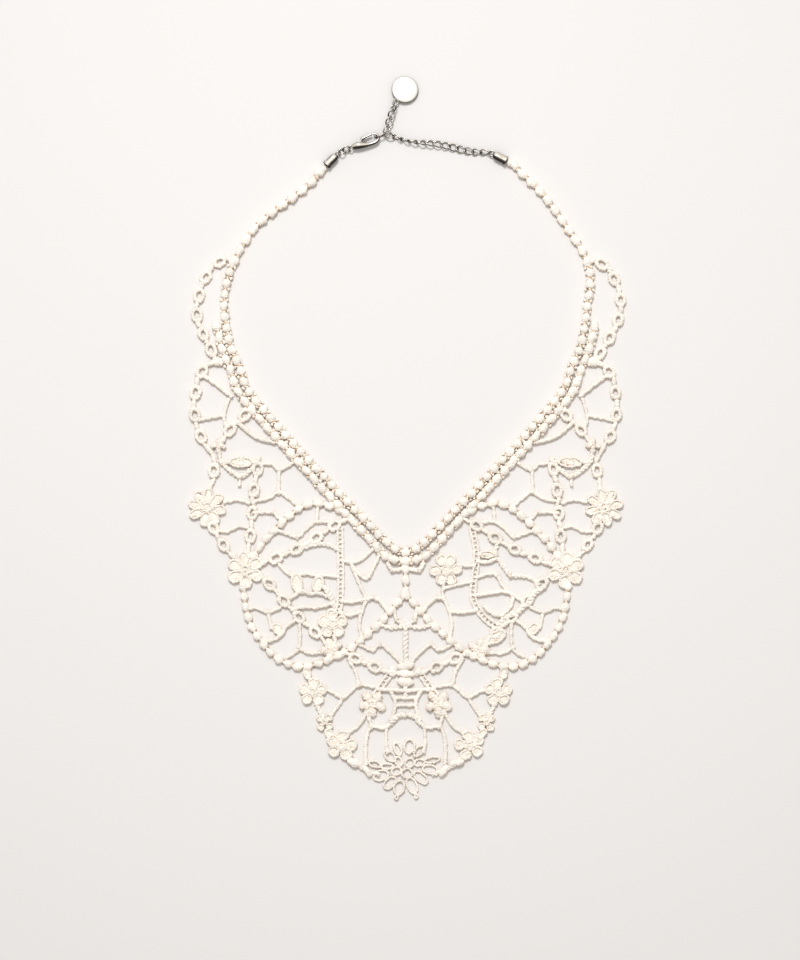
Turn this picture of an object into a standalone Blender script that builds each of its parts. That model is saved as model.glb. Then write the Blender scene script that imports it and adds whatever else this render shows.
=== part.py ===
"""Lace bib necklace with end caps, lobster clasp, extension chain and a round tag, lying flat.

The lace is one embroidered openwork piece. Its cords, beads, chain links, flowers and bars are
drawn in plan in millimetres, joined into one outline with its gaps, and raised into a wall with
a flat underside and bead tops. Thin seams part the wall into five panels.
X runs to the right in plan, Y runs up the plan to the clasp, and Z is up.
"""
import math

import bpy
import numpy
from mathutils import Vector
from mathutils.geometry import delaunay_2d_cdt

MM = 0.001
SEAM = 0.3
PLAN_MIDDLE = (0.634, -0.014)

# Wall of the lace, mm
WALL = 1.3
LINK_EDGE = 1.7
BEAD_EDGE = 1.5
SMALLEST_GAP_AREA = 12.0
SMALLEST_CORNER = 0.14
INNER_SPACE = 0.6

# Bead rows, mm: pitch along the row, half width, height of the bead
ROW_PITCH = 4.3
ROW_HALF = 1.95
ROW_TOP = 3.0
ARM_PITCH = 4.8
ARM_HALF = 1.75
ARM_TOP = 2.8
CORD_PITCH = 3.2
CORD_HALF = 1.6
CORD_TOP = 2.3

# Stitched chain links and the necks between them, mm
LACE_LINK_HALF = 3.1
LACE_LINK_WIDE = 4.7
NECK_HALF = 1.1
NECK_TOP = 2.0

BAR_WIDE = 1.3

# Metal, mm
WIRE = 0.5
LINK_WIDE = 3.0
CROSSING = 0.75
CAP_LONG = 5.4
CAP_RADIUS = 1.7
RING_RADIUS = 1.4
EYE_RADIUS = 0.95
METAL_HEIGHT = 1.7
TAG_RADIUS = 5.05
TAG_THICK = 1.0
TAG_EYE_RADIUS = 1.3
TAG_HOLE_RADIUS = 0.8

# End caps in plan. Columns: mouth, closed end, roll of the eyelet in degrees
CAPS = {
    "left": ((-29.8, 102.5), (-26.1, 106.2), 45),
    "right": ((37.9, 104.2), (32.5, 107.0), -15),
}
# Cap profile. Columns: share of the length, share of the radius
CAP_PROFILE = ((0.0, 0.9), (0.04, 1.0), (0.16, 1.0), (0.2, 0.9), (0.78, 0.9), (0.92, 0.82), (1.0, 0.55))

# Clasp, from its eye along and across its axis, mm
CLASP_EYE = (-20.9, 109.0)
CLASP_HEIGHT = 1.8
# Columns: along, across, width, height
HOOK = (
    (0.95, 0.0, 1.5, 1.5),
    (2.2, -0.1, 2.4, 2.3),
    (3.6, -0.3, 2.7, 3.0),
    (5.3, -0.9, 2.1, 2.5),
    (7.4, -1.4, 1.4, 1.9),
    (9.4, -1.5, 1.3, 1.7),
    (10.95, -1.0, 1.2, 1.5),
    (11.55, 0.1, 1.1, 1.4),
    (11.15, 1.1, 1.0, 1.3),
    (10.1, 1.6, 0.9, 1.2),
)
LEVER = (
    (5.0, 1.2, 0.9, 1.3),
    (5.6, 1.5, 1.2, 1.5),
    (6.4, 1.65, 1.1, 1.4),
    (7.4, 1.7, 0.8, 1.2),
    (9.6, 1.7, 0.7, 1.1),
)
HELD_LINK_START = 10.4
HELD_LINK_WIDE = 3.6

# Extension chain and tail, mm and degrees
JUNCTION = (-7.4, 114.5)
CHAIN_PATH = ((25.2, 107.7), (19.2, 109.1), (12.7, 110.6), (6.3, 111.2), (0.5, 111.9))
CHAIN_LINKS = 13
CHAIN_TWIST = 15
FACE_ON_LINK = 5
LOW_CROSSING = 1.4
TAIL_ROLLS = ((0, 60), (-30, 60), (-30, 75), (165, 90))
TAIL_HEIGHTS = (2.2, 1.6, 1.5, 1.5, 1.5)
TAG_HOLE = (-3.8, 126.4)
TAG_HEIGHT = 1.5
TAG_REACH = 5.9
TAG_TILT = 5.0
TAG_TURN = 52.0

# Plan points are (out from the middle line, up from the middle of the plan), in mm.
ARM_LEFT = ((32.2, 100.1), (35.5, 95.9), (41.5, 91.2), (47.6, 86.7), (52.5, 83.0), (57.3, 78.4),
            (61.6, 72.0), (64.4, 66.4))
ARM_RIGHT = ((40.8, 102.8), (44.6, 98.7), (49.4, 94.2), (53.6, 89.3), (57.3, 84.0), (62.6, 76.5),
             (66.2, 70.9), (68.2, 66.4))
INNER_ROW_LEFT = ((64.4, 66.4), (66.8, 60.5), (68.0, 54.0))
INNER_ROW_RIGHT = ((68.2, 66.4), (69.4, 60.5), (69.0, 54.0))
INNER_ROW = ((68.2, 50.0), (67.6, 43.8), (65.8, 34.8), (62.4, 26.9), (57.3, 15.6), (33.0, -11.8),
             (7.7, -38.4), (3.6, -41.6), (0.0, -42.8))
OUTER_ROW = ((71.0, 42.2), (68.8, 33.0), (65.4, 24.9), (60.6, 14.3), (35.9, -13.5), (10.6, -41.0),
             (7.5, -43.8), (4.0, -45.5), (0.0, -46.1))

# Rows of touching beads. Columns: name, points
BEAD_CORDS = (
    ("arc_over_medallion", ((25.0, -26.8), (32.1, -24.3), (38.5, -25.5), (45.3, -30.6),
                            (52.8, -38.2), (57.0, -44.0))),
    ("medallion_rim", ((61.0, -55.5), (60.0, -63.7), (57.7, -70.9), (53.6, -77.0), (48.5, -82.4),
                       (41.5, -85.6), (34.0, -85.0), (25.5, -81.6))),
    ("triangle_side", ((0.0, -59.0), (3.2, -61.9), (7.5, -67.1), (12.8, -72.2), (18.5, -77.4),
                       (23.5, -80.6))),
    ("drop_from_v", ((0.0, -48.6), (0.0, -57.8))),
)

# Chains of stitched oval links. Columns: name, points: its start, the middles of its links, its end
SCALLOP_LEFT = ((65.8, 66.8), (69.9, 66.4), (75.0, 60.7), (77.6, 53.8), (78.4, 46.4),
                              (76.0, 39.3), (73.1, 33.3), (70.8, 28.8))
SCALLOP_RIGHT = ((69.4, 66.2), (73.9, 65.6), (78.4, 60.0), (80.8, 52.2), (79.9, 44.6),
                               (76.6, 37.8), (73.1, 32.1), (70.8, 28.4))
LINK_CORDS = (
    ("scallop_2", ((70.8, 28.8), (76.5, 25.2), (78.9, 17.3), (79.2, 8.9), (76.9, 0.8),
                   (72.4, -6.0))),
    ("inside_scallop_2", ((56.9, 13.0), (60.4, 8.8), (66.0, 3.2), (70.2, -3.4))),
    ("chain_in_medallion", ((20.6, -29.6), (26.7, -32.7), (33.7, -37.3), (41.0, -41.6),
                            (48.8, -44.9), (55.5, -47.8))),
    ("chain_under_scroll", ((55.0, -51.0), (51.2, -54.6), (45.7, -61.0), (40.0, -67.1),
                            (34.0, -72.9), (28.5, -78.6))),
    ("link_to_flower", ((72.4, -6.0), (72.0, -12.0), (73.6, -19.4))),
    ("flower_to_flower", ((73.6, -29.5), (72.2, -33.6), (68.4, -40.0), (63.8, -45.2))),
    ("under_triangle", ((24.0, -80.0), (18.8, -82.6), (11.5, -85.8), (5.6, -88.2))),
    ("link_column", ((55.0, -7.4), (55.6, -11.4), (57.0, -19.4), (57.6, -28.0), (58.3, -36.6),
                     (59.4, -44.0))),
)

# Flowers. Columns: name, out, up, radius, petals, turn in degrees
FLOWERS = (
    ("side_flower", 74.6, -25.8, 7.4, 8, 10),
    ("corner_flower", 60.2, -49.4, 7.2, 6, 25),
    ("lower_flower", 34.8, -95.2, 5.6, 5, 20),
    ("lower_rosette", 24.0, -115.2, 6.0, 5, 30),
    ("rim_floret", 30.4, -106.6, 3.8, 4, 40),
    ("link_floret", 70.4, -2.8, 2.8, 4, 0),
    ("trunk_floret", 12.4, -99.6, 5.0, 5, 54),
    ("medallion_floret", 27.6, -79.6, 4.4, 5, 0),
)
SCROLL_FLOWER_LEFT = ("scroll_flower", 27.4, -69.6, 5.8, 5, 90)
SCROLL_FLOWER_RIGHT = ("scroll_flower", 15.2, -49.2, 6.4, 6, 0)

# Leaves and petals stitched as loops. Columns: name, out, up, half length, half width, turn in degrees
LEAVES = (
    ("eye_leaf", 61.9, -8.8, 4.9, 2.3, 0),
    ("eye", 61.9, -8.8, 1.7, 1.5, 0),
    ("lower_flower_link", 37.0, -88.0, 2.8, 1.6, 80),
    ("rosette_link", 28.6, -111.0, 2.5, 1.6, 50),
    ("rim_leaf", 47.9, -71.6, 3.0, 2.1, 45),
)
SCROLL_LEAVES_LEFT = (
    ("scroll_leaf", 40.8, -54.3, 4.2, 2.4, 80),
    ("scroll_bud", 32.9, -54.6, 3.3, 2.4, 110),
)
SCROLL_LEAVES_RIGHT = (
    ("scroll_leaf", 34.4, -74.4, 4.0, 2.5, 35),
    ("scroll_bud", 30.6, -43.6, 3.0, 1.6, 0),
)
# Columns: name, X, up, half length, half width, turn in degrees
END_PETALS = (
    ("far_left", -9.2, -126.6, 3.4, 2.3, 198),
    ("lower_left", -5.9, -129.4, 3.3, 2.1, 227),
    ("foot", -2.4, -131.2, 3.2, 2.4, 257),
    ("lower_right", 2.4, -130.4, 3.7, 2.2, 294),
    ("right", 5.7, -127.4, 3.6, 2.1, 320),
    ("far_right", 9.2, -124.4, 3.3, 2.1, 350),
    ("small_right", 5.3, -121.8, 2.5, 1.7, 10),
    ("upper_left", -5.9, -119.3, 3.1, 1.9, 137),
    ("top_left", -3.0, -116.6, 3.0, 1.7, 112),
    ("top", 1.5, -115.6, 3.2, 2.3, 82),
    ("top_right", 5.1, -117.4, 3.0, 1.7, 48),
    ("small_left", -6.9, -123.2, 2.7, 1.5, 180),
    ("inner_left", -3.4, -125.0, 2.4, 1.9, 200),
    ("middle_left", -2.6, -121.4, 2.3, 1.6, 110),
    ("middle_right", 1.6, -121.8, 2.2, 2.0, 60),
    ("middle", 0.6, -125.8, 2.6, 2.2, 0),
    ("leaf_left", -11.6, -122.4, 2.8, 1.5, 165),
    ("leaf_right", 10.0, -120.8, 3.4, 1.5, 10),
    ("picot_left", -3.4, -134.8, 1.3, 1.0, 80),
    ("picot_right", 4.0, -134.4, 1.3, 1.0, 100),
)

# Single beads. Columns: name, out, up, half length, half width, turn in degrees, top
BUDS = (
    ("scallop_knot", 70.4, 28.8, 2.2, 1.9, 0, 2.2),
    ("rim_bead", 19.2, -121.8, 2.9, 1.6, 25, 2.6),
    ("petal_bead", 14.4, -124.8, 2.6, 1.4, 52, 2.4),
    ("upper_stack", 0.0, -85.4, 3.1, 1.7, 0, 2.4),
    ("middle_stack", 0.0, -88.4, 3.3, 1.7, 0, 2.6),
    ("lower_stack", 0.0, -91.4, 3.2, 1.7, 0, 2.4),
    ("stack_side", 4.9, -87.6, 1.9, 1.5, 60, 2.2),
)

# Thin stitched bars. Columns: width, points
BARS = (
    (1.6, ((75.5, 23.6), (70.1, 19.7), (65.2, 15.6))),
    (1.5, ((63.0, 6.0), (56.6, 0.8), (49.0, -1.6))),
    (BAR_WIDE, ((66.4, 15.2), (68.2, 8.8), (67.4, 3.6))),
    (BAR_WIDE, ((78.5, 6.7), (72.8, 7.9), (68.2, 8.8))),
    (2.0, ((70.2, -5.0), (69.0, -9.2), (62.2, -14.2), (57.4, -11.0))),
    (1.6, ((69.0, -9.0), (65.8, -8.8))),
    (1.6, ((58.2, -8.8), (55.2, -8.8))),
    (BAR_WIDE, ((62.2, -14.2), (62.4, -18.0))),
    (BAR_WIDE, ((68.4, -24.0), (63.0, -23.0), (58.4, -24.4))),
    (BAR_WIDE, ((71.1, -34.6), (67.0, -34.9), (62.6, -33.0), (58.8, -33.6))),
    (BAR_WIDE, ((55.8, -9.6), (50.3, -9.6), (47.3, -11.7), (42.0, -9.0))),
    (BAR_WIDE, ((47.6, -11.6), (47.7, -20.2))),
    (BAR_WIDE, ((57.0, -23.6), (51.5, -22.4), (47.7, -20.2), (44.9, -21.6), (40.2, -25.6))),
    (BAR_WIDE, ((57.6, -27.9), (50.0, -27.8), (48.0, -29.6), (45.6, -31.2))),
    (BAR_WIDE, ((51.7, -38.2), (48.3, -34.8), (40.8, -36.9), (37.4, -34.0), (33.7, -31.4),
                (28.4, -31.4))),
    (BAR_WIDE, ((32.9, -24.8), (33.5, -31.4))),
    (BAR_WIDE, ((60.2, -64.4), (56.4, -63.6), (51.7, -65.2), (46.6, -63.4))),
    (BAR_WIDE, ((51.7, -65.2), (50.4, -71.6))),
    (1.5, ((54.4, -75.8), (50.0, -75.7), (46.6, -73.6), (45.0, -70.8), (41.6, -68.4))),
    (BAR_WIDE, ((39.7, -69.0), (40.2, -78.6), (44.6, -82.4))),
    (BAR_WIDE, ((40.2, -78.6), (36.6, -80.6), (31.4, -80.4))),
    (1.6, ((7.0, -46.4), (4.9, -49.4), (1.2, -48.9))),
    (1.5, ((14.6, -60.4), (12.0, -59.9), (9.2, -61.6), (6.2, -65.2))),
    (BAR_WIDE, ((14.6, -60.4), (16.4, -64.9), (17.4, -70.0), (16.4, -75.4))),
    (1.8, ((10.4, -69.4), (6.0, -71.0), (0.0, -70.4))),
    (BAR_WIDE, ((4.4, -63.6), (3.4, -68.0), (0.0, -70.4))),
    (2.2, ((0.0, -71.0), (0.0, -84.6))),
    (BAR_WIDE, ((18.0, -77.0), (12.6, -79.5), (9.6, -77.4), (6.6, -79.4), (1.6, -84.4))),
    (BAR_WIDE, ((33.0, -94.2), (28.4, -94.9), (23.5, -97.3), (20.1, -94.6), (17.1, -92.6),
                (10.6, -93.6))),
    (BAR_WIDE, ((23.5, -97.3), (25.6, -100.8), (28.6, -104.8))),
    (BAR_WIDE, ((21.8, -82.4), (18.8, -87.6), (17.6, -92.6))),
    (BAR_WIDE, ((21.4, -110.6), (17.9, -108.1), (15.4, -104.3), (14.2, -100.4))),
    (BAR_WIDE, ((14.6, -101.6), (12.8, -108.4))),
    (2.2, ((5.8, -107.2), (2.8, -104.2), (0.0, -103.8))),
    (1.5, ((5.8, -107.2), (8.2, -108.7), (12.9, -108.4), (14.6, -112.0), (15.0, -117.0),
           (14.8, -122.6))),
    (BAR_WIDE, ((7.2, -108.4), (7.3, -114.6), (6.6, -118.4))),
    (1.6, ((11.0, -94.2), (5.6, -94.4), (0.0, -94.8))),
    (1.8, ((0.0, -91.6), (0.0, -98.2))),
    (1.5, ((5.6, -94.8), (4.0, -98.6), (4.2, -102.0), (5.6, -106.0))),
    (BAR_WIDE, ((4.4, -97.4), (0.0, -97.5))),
    (BAR_WIDE, ((4.0, -100.2), (0.0, -100.3))),
    (2.8, ((6.2, -89.0), (9.4, -93.4), (11.6, -96.8))),
    (1.8, ((33.9, -99.4), (31.6, -103.6), (30.6, -106.0))),
    (1.8, ((21.4, -119.2), (19.2, -121.8), (14.4, -124.8), (9.8, -126.4))),
)
SCROLL_BARS_LEFT = (
    (2.8, ((24.6, -33.2), (24.5, -42.6), (24.3, -50.0), (24.6, -61.0), (25.4, -65.0))),
    (1.8, ((40.2, -41.6), (34.0, -39.8), (29.1, -39.9), (24.6, -42.2))),
    (BAR_WIDE, ((20.9, -46.4), (16.8, -51.5), (14.0, -52.0), (9.6, -43.4))),
    (BAR_WIDE, ((20.9, -46.4), (17.9, -53.2), (14.6, -60.4))),
    (BAR_WIDE, ((24.6, -45.6), (20.9, -46.4), (17.0, -45.7), (11.8, -41.2))),
    (1.5, ((43.4, -60.2), (38.9, -57.4), (35.9, -58.4), (32.9, -58.0), (29.1, -59.4))),
    (1.5, ((42.4, -64.2), (37.8, -63.2), (33.8, -63.5), (28.0, -62.2))),
    (2.2, ((31.8, -55.0), (29.1, -57.7), (27.3, -61.9), (26.4, -65.6))),
    (BAR_WIDE, ((34.2, -51.6), (30.0, -51.4), (24.8, -52.1))),
    (BAR_WIDE, ((48.0, -46.6), (43.6, -51.0), (37.4, -50.8), (34.0, -51.6))),
    (1.5, ((24.6, -61.0), (20.5, -61.4), (14.6, -60.4))),
    (1.5, ((25.4, -65.2), (20.9, -66.3), (16.4, -64.9))),
    (1.6, ((27.2, -73.6), (26.4, -76.4), (27.6, -79.6))),
)
SCROLL_BARS_RIGHT = (
    (2.8, ((24.8, -32.8), (26.4, -40.6), (26.5, -47.6), (25.8, -53.2), (25.4, -59.6), (27.6, -64.5),
           (30.6, -68.2), (34.4, -70.5))),
    (2.3, ((34.4, -70.5), (37.4, -67.5), (41.5, -65.6), (45.3, -62.2), (48.3, -58.5),
           (52.4, -55.4))),
    (1.8, ((34.6, -39.0), (33.8, -43.6), (36.7, -47.9), (39.3, -51.3), (43.4, -51.7), (47.2, -52.5),
           (50.4, -55.0))),
    (1.5, ((26.6, -46.2), (31.0, -46.4), (34.4, -44.9))),
    (BAR_WIDE, ((26.4, -52.3), (31.0, -50.9), (34.4, -51.3), (35.9, -54.3), (38.5, -57.7))),
    (1.5, ((25.6, -59.2), (31.8, -58.1), (38.0, -57.7), (44.6, -61.4))),
    (1.5, ((16.4, -64.9), (21.2, -65.3), (27.4, -64.4))),
    (BAR_WIDE, ((29.4, -63.0), (31.8, -65.2), (35.5, -66.6), (39.4, -63.2), (40.6, -58.6))),
    (BAR_WIDE, ((14.6, -60.4), (14.1, -56.8), (18.6, -55.1), (25.6, -53.6))),
    (BAR_WIDE, ((19.7, -47.6), (26.4, -48.0))),
    (BAR_WIDE, ((14.6, -53.0), (14.1, -56.8))),
    (1.6, ((31.8, -76.8), (29.4, -78.6), (27.6, -79.6))),
)

# Seams. Columns: sign of the side that they cut, points
SEAMS = (
    (-1, ((59.8, 67.6), (63.0, 69.2), (66.0, 70.7))),
    (1, ((64.2, 67.3), (67.2, 68.6), (70.4, 70.0))),
)
FRONT_SEAM = ((22.4, -10.0), (22.4, -70.0), (23.2, -77.0), (27.6, -83.6), (32.0, -87.4),
              (44.0, -88.2))

# Panels. Columns: name, a plan point that lies on it (X, Y)
PANELS = (
    ("neck_arm_left", -45.0, 88.5),
    ("neck_arm_right", 47.0, 96.6),
    ("side_panel_left", -57.0, 16.0),
    ("side_panel_right", 57.0, 16.0),
    ("front_panel", 0.0, -123.6),
)


def clear_scene():
    for item in list(bpy.data.objects):
        bpy.data.objects.remove(item, do_unlink=True)


def make_material(name, colour, roughness, metallic):
    material = bpy.data.materials.new(name)
    material.use_nodes = True
    shader = material.node_tree.nodes["Principled BSDF"]
    shader.inputs["Base Color"].default_value = (*colour, 1.0)
    shader.inputs["Roughness"].default_value = roughness
    shader.inputs["Metallic"].default_value = metallic
    return material


def set_origin():
    """Hangs everything on one empty that puts the middle of the plan on the origin."""
    middle = bpy.data.objects.new("necklace", None)
    middle.location = (-PLAN_MIDDLE[0] * MM, -PLAN_MIDDLE[1] * MM, 0.0)
    bpy.context.scene.collection.objects.link(middle)
    for item in list(bpy.data.objects):
        if item != middle:
            item.parent = middle


def add_object(name, points, faces, material, smooth=False):
    """Makes a named object from points in millimetres."""
    mesh = bpy.data.meshes.new(name)
    mesh.from_pydata([Vector(point) * MM for point in points], [], faces)
    mesh.materials.append(material)
    if smooth:
        mesh.shade_smooth()
        mesh.set_sharp_from_angle(angle=math.radians(40))
    item = bpy.data.objects.new(name, mesh)
    bpy.context.scene.collection.objects.link(item)
    return item


# Plan drawing of the lace

def smooth_path(points, spacing):
    """Even points along a Catmull-Rom curve through the given ones, of two or three numbers each."""
    knots = [Vector(point) for point in points]
    knots = [2 * knots[0] - knots[1], *knots, 2 * knots[-1] - knots[-2]]
    dense = []
    steps = 16
    for before, start, end, after in zip(knots, knots[1:], knots[2:], knots[3:]):
        for step in range(steps):
            t = step / steps
            dense.append(0.5 * (2 * start + (end - before) * t
                                + (2 * before - 5 * start + 4 * end - after) * t * t
                                + (3 * start - before - 3 * end + after) * t ** 3))
    dense.append(knots[-2])
    reach = [0.0]
    for here, there in zip(dense, dense[1:]):
        reach.append(reach[-1] + (there - here).length)
    count = max(1, round(reach[-1] / spacing))
    path = []
    index = 0
    for number in range(count + 1):
        want = reach[-1] * number / count
        while index < len(dense) - 2 and reach[index + 1] < want:
            index += 1
        span = reach[index + 1] - reach[index]
        path.append(dense[index].lerp(dense[index + 1], (want - reach[index]) / span))
    return path


def directions(path):
    ahead = []
    for index in range(len(path)):
        step = path[min(index + 1, len(path) - 1)] - path[max(index - 1, 0)]
        ahead.append(step.normalized())
    return ahead


class LacePlan:
    """Outlines of every stitched piece in plan, with the mounds that raise their tops."""

    def __init__(self):
        self.outlines = []
        self.inner = []
        self.mounds = []

    def oval(self, centre, along, half_long, half_wide, sides, edge, top):
        """An oval stitched piece whose top rises, or dips, from its edge to its middle."""
        across = Vector((-along.y, along.x))
        swell = math.sqrt(math.tau / sides / math.sin(math.tau / sides))
        half_long *= swell
        half_wide *= swell
        offset = math.pi / sides
        outline = []
        for corner in range(sides):
            angle = offset + corner * math.tau / sides
            outline.append(centre + along * half_long * math.cos(angle)
                           + across * half_wide * math.sin(angle))
        self.outlines.append(outline)
        self.inner.append(centre)
        self.mounds.append((centre, along, half_long, half_wide, edge, top))

    def beads(self, points, pitch, half, top, sides=8, valleys=False):
        path = smooth_path(points, pitch)
        step = (path[1] - path[0]).length
        stretch = 0.56 * step
        for centre, along in zip(path, directions(path)):
            self.oval(centre, along, stretch, half, sides, BEAD_EDGE, top)
            if valleys:
                across = Vector((-along.y, along.x))
                self.inner += [centre + across * half, centre - across * half]
                self.inner += [centre + along * step / 2 + across * side * half / 2
                               for side in (-1, 1)]

    def links(self, points):
        """Rings on the inner points of a path, with a neck before and after each ring."""
        path = [Vector(point) for point in points]
        ahead = directions(path)
        for centre, along in zip(path[1:-1], ahead[1:-1]):
            self.oval(centre, along, LACE_LINK_HALF, LACE_LINK_WIDE / 2, 8, LINK_EDGE, WALL)
        near = [path[0]] + [centre + along * LACE_LINK_HALF
                            for centre, along in zip(path[1:-1], ahead[1:-1])]
        far = [centre - along * LACE_LINK_HALF
               for centre, along in zip(path[1:-1], ahead[1:-1])] + [path[-1]]
        for start, end in zip(near, far):
            along = (end - start).normalized()
            reach = (end - start).length / 2 + 0.9
            self.oval((start + end) / 2, along, reach, NECK_HALF, 6, BEAD_EDGE, NECK_TOP)

    def ribbon(self, points, width):
        straight = len(points) == 2
        path = [Vector(p) for p in points] if straight else smooth_path(points, 3.2)
        left = []
        right = []
        for centre, along in zip(path, directions(path)):
            across = Vector((-along.y, along.x)) * width / 2
            left.append(centre + across)
            right.append(centre - across)
        self.outlines.append(right + left[::-1])

    def flower(self, out, up, radius, petals, turn):
        centre = Vector((out, up))
        half_wide = min(0.38 * radius, 0.95 * math.pi * 0.62 * radius / petals)
        for petal in range(petals):
            angle = math.radians(turn) + petal * math.tau / petals
            along = Vector((math.cos(angle), math.sin(angle)))
            middle = centre + along * radius * 0.6
            self.oval(middle, along, radius * 0.4, half_wide, 8, LINK_EDGE, WALL)
        self.oval(centre, Vector((1, 0)), radius * 0.34, radius * 0.34, 8, LINK_EDGE, 2.2)

    def leaf(self, out, up, half_long, half_wide, turn, top=WALL):
        angle = math.radians(turn)
        along = Vector((math.cos(angle), math.sin(angle)))
        self.oval(Vector((out, up)), along, half_long, half_wide, 8, LINK_EDGE, top)

    def height(self, x, y):
        best = WALL
        for centre, along, half_long, half_wide, edge, top in self.mounds:
            dx = x - centre.x
            dy = y - centre.y
            if abs(dx) > half_long + half_wide or abs(dy) > half_long + half_wide:
                continue
            far = math.hypot((dx * along.x + dy * along.y) / half_long,
                             (dy * along.x - dx * along.y) / half_wide)
            if far < 1.03:
                rise = math.sqrt(max(0.0, 1 - far * far))
                best = max(best, edge + (top - edge) * rise)
        return best


def sided(points, side):
    return [(side * out, up) for out, up in points]


def draw_lace():
    plan = LacePlan()
    sides = (
        (-1, ARM_LEFT, INNER_ROW_LEFT, SCALLOP_LEFT, SCROLL_FLOWER_LEFT, SCROLL_LEAVES_LEFT,
         SCROLL_BARS_LEFT),
        (1, ARM_RIGHT, INNER_ROW_RIGHT, SCALLOP_RIGHT, SCROLL_FLOWER_RIGHT, SCROLL_LEAVES_RIGHT,
         SCROLL_BARS_RIGHT),
    )
    for side, arm, row_start, scallop, scroll_flower, scroll_leaves, scroll_bars in sides:
        plan.beads(sided(arm, side), ARM_PITCH, ARM_HALF, ARM_TOP)
        plan.beads(sided(row_start + INNER_ROW, side), ROW_PITCH, ROW_HALF, ROW_TOP, valleys=True)
        plan.beads(sided(OUTER_ROW, side), ROW_PITCH, ROW_HALF, ROW_TOP, valleys=True)
        plan.links(sided(scallop, side))
        for _, points in BEAD_CORDS:
            plan.beads(sided(points, side), CORD_PITCH, CORD_HALF, CORD_TOP, sides=6)
        for _, points in LINK_CORDS:
            plan.links(sided(points, side))
        for width, points in BARS + scroll_bars:
            plan.ribbon(sided(points, side), width)
        for _, out, up, radius, petals, turn in FLOWERS + (scroll_flower,):
            plan.flower(side * out, up, radius, petals, turn if side > 0 else 180 - turn)
        for _, out, up, half_long, half_wide, turn in LEAVES + scroll_leaves:
            plan.leaf(side * out, up, half_long, half_wide, turn if side > 0 else 180 - turn)
        for _, out, up, half_long, half_wide, turn, top in BUDS:
            plan.leaf(side * out, up, half_long, half_wide, turn if side > 0 else 180 - turn, top)
    for _, x, up, half_long, half_wide, turn in END_PETALS:
        plan.leaf(x, up, half_long, half_wide, turn)
    return plan


# Joining the outlines

def signed_area(loop):
    return 0.5 * sum(a.x * b.y - b.x * a.y for a, b in zip(loop, loop[1:] + loop[:1]))


def cover(outlines, inner, cuts):
    """Triangles of the joined outlines less the cuts, with their points."""
    points = []
    faces = []
    for outline in outlines + cuts:
        if signed_area(outline) < 0:
            outline = outline[::-1]
        faces.append(list(range(len(points), len(points) + len(outline))))
        points += outline
    points += inner
    found, _, triangles, _, _, owners = delaunay_2d_cdt(points, [], faces, 0, 1e-4, True)
    kept = [tri for tri, owner in zip(triangles, owners) if owner and max(owner) < len(outlines)]
    return found, kept


def rim_edges(triangles):
    edges = set()
    for tri in triangles:
        for a, b in zip(tri, tri[1:] + tri[:1]):
            edges.add((a, b))
    return [(a, b) for a, b in edges if (b, a) not in edges]


def rim_loops(triangles):
    """Closed loops round the triangles, and the points where two loops pinch together."""
    after = {}
    pinched = set()
    for a, b in sorted(rim_edges(triangles)):
        if a in after:
            pinched.add(a)
        after.setdefault(a, []).append(b)
    loops = []
    while after:
        start = next(iter(after))
        loop = []
        here = start
        while here in after:
            loop.append(here)
            ends = after[here]
            there = ends.pop()
            if not ends:
                del after[here]
            here = there
        loops.append(loop)
    return loops, pinched


def small_disc(centre, radius):
    return [centre + radius * Vector((math.cos(k * math.pi / 3), math.sin(k * math.pi / 3)))
            for k in range(6)]


def seam_strips():
    strips = []
    plans = [(side, points) for side, points in SEAMS] + [(-1, FRONT_SEAM), (1, FRONT_SEAM)]
    for side, points in plans:
        path = [Vector(point) for point in sided(points, side)]
        left = []
        right = []
        for centre, along in zip(path, directions(path)):
            across = Vector((-along.y, along.x)) * SEAM / 2
            left.append(centre + across)
            right.append(centre - across)
        strips.append(right + left[::-1])
    return strips


def join_outlines(plan):
    """Joins the lace, with its small gaps filled and its pinched points thickened."""
    outlines = list(plan.outlines)
    cuts = seam_strips()
    for _ in range(6):
        points, triangles = cover(outlines, plan.inner, cuts)
        loops, pinched = rim_loops(triangles)
        extra = [small_disc(points[index], 0.5) for index in pinched]
        for loop in loops:
            corners = [points[index] for index in loop]
            if -SMALLEST_GAP_AREA < signed_area(corners) < 0:
                extra.append(corners[::-1])
        if not extra:
            break
        outlines += extra
    return points, triangles


def split_panels(points, triangles):
    """Groups the triangles that share edges."""
    parent = list(range(len(triangles)))

    def root(index):
        while parent[index] != index:
            parent[index] = parent[parent[index]]
            index = parent[index]
        return index

    seen = {}
    for number, tri in enumerate(triangles):
        for a, b in zip(tri, tri[1:] + tri[:1]):
            key = (min(a, b), max(a, b))
            if key in seen:
                parent[root(number)] = root(seen[key])
            seen[key] = number
    groups = {}
    for number, tri in enumerate(triangles):
        groups.setdefault(root(number), []).append(tri)
    return list(groups.values())


def simplify(corners):
    """Drops the corners of a loop that hardly change its outline."""
    corners = list(corners)
    while len(corners) > 6:
        areas = []
        for index, here in enumerate(corners):
            before = corners[index - 1]
            after = corners[(index + 1) % len(corners)]
            areas.append((abs(signed_area([before, here, after])), index))
        area, index = min(areas)
        if area > SMALLEST_CORNER:
            break
        corners.pop(index)
    return corners


def clear_of_rim(spots, loops):
    """The inner points that keep a little distance from the rim and from each other."""
    starts = numpy.array([corner for loop in loops for corner in loop])
    ends = numpy.array([corner for loop in loops for corner in loop[1:] + loop[:1]])
    spans = ends - starts
    lengths = (spans * spans).sum(axis=1)
    kept = []
    for spot in spots:
        away = numpy.array(spot) - starts
        along = numpy.clip((away * spans).sum(axis=1) / lengths, 0, 1)
        nearest = numpy.hypot(*(away - spans * along[:, None]).T).min()
        if nearest > INNER_SPACE and all((spot - other).length > INNER_SPACE for other in kept):
            kept.append(spot)
    return kept


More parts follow.
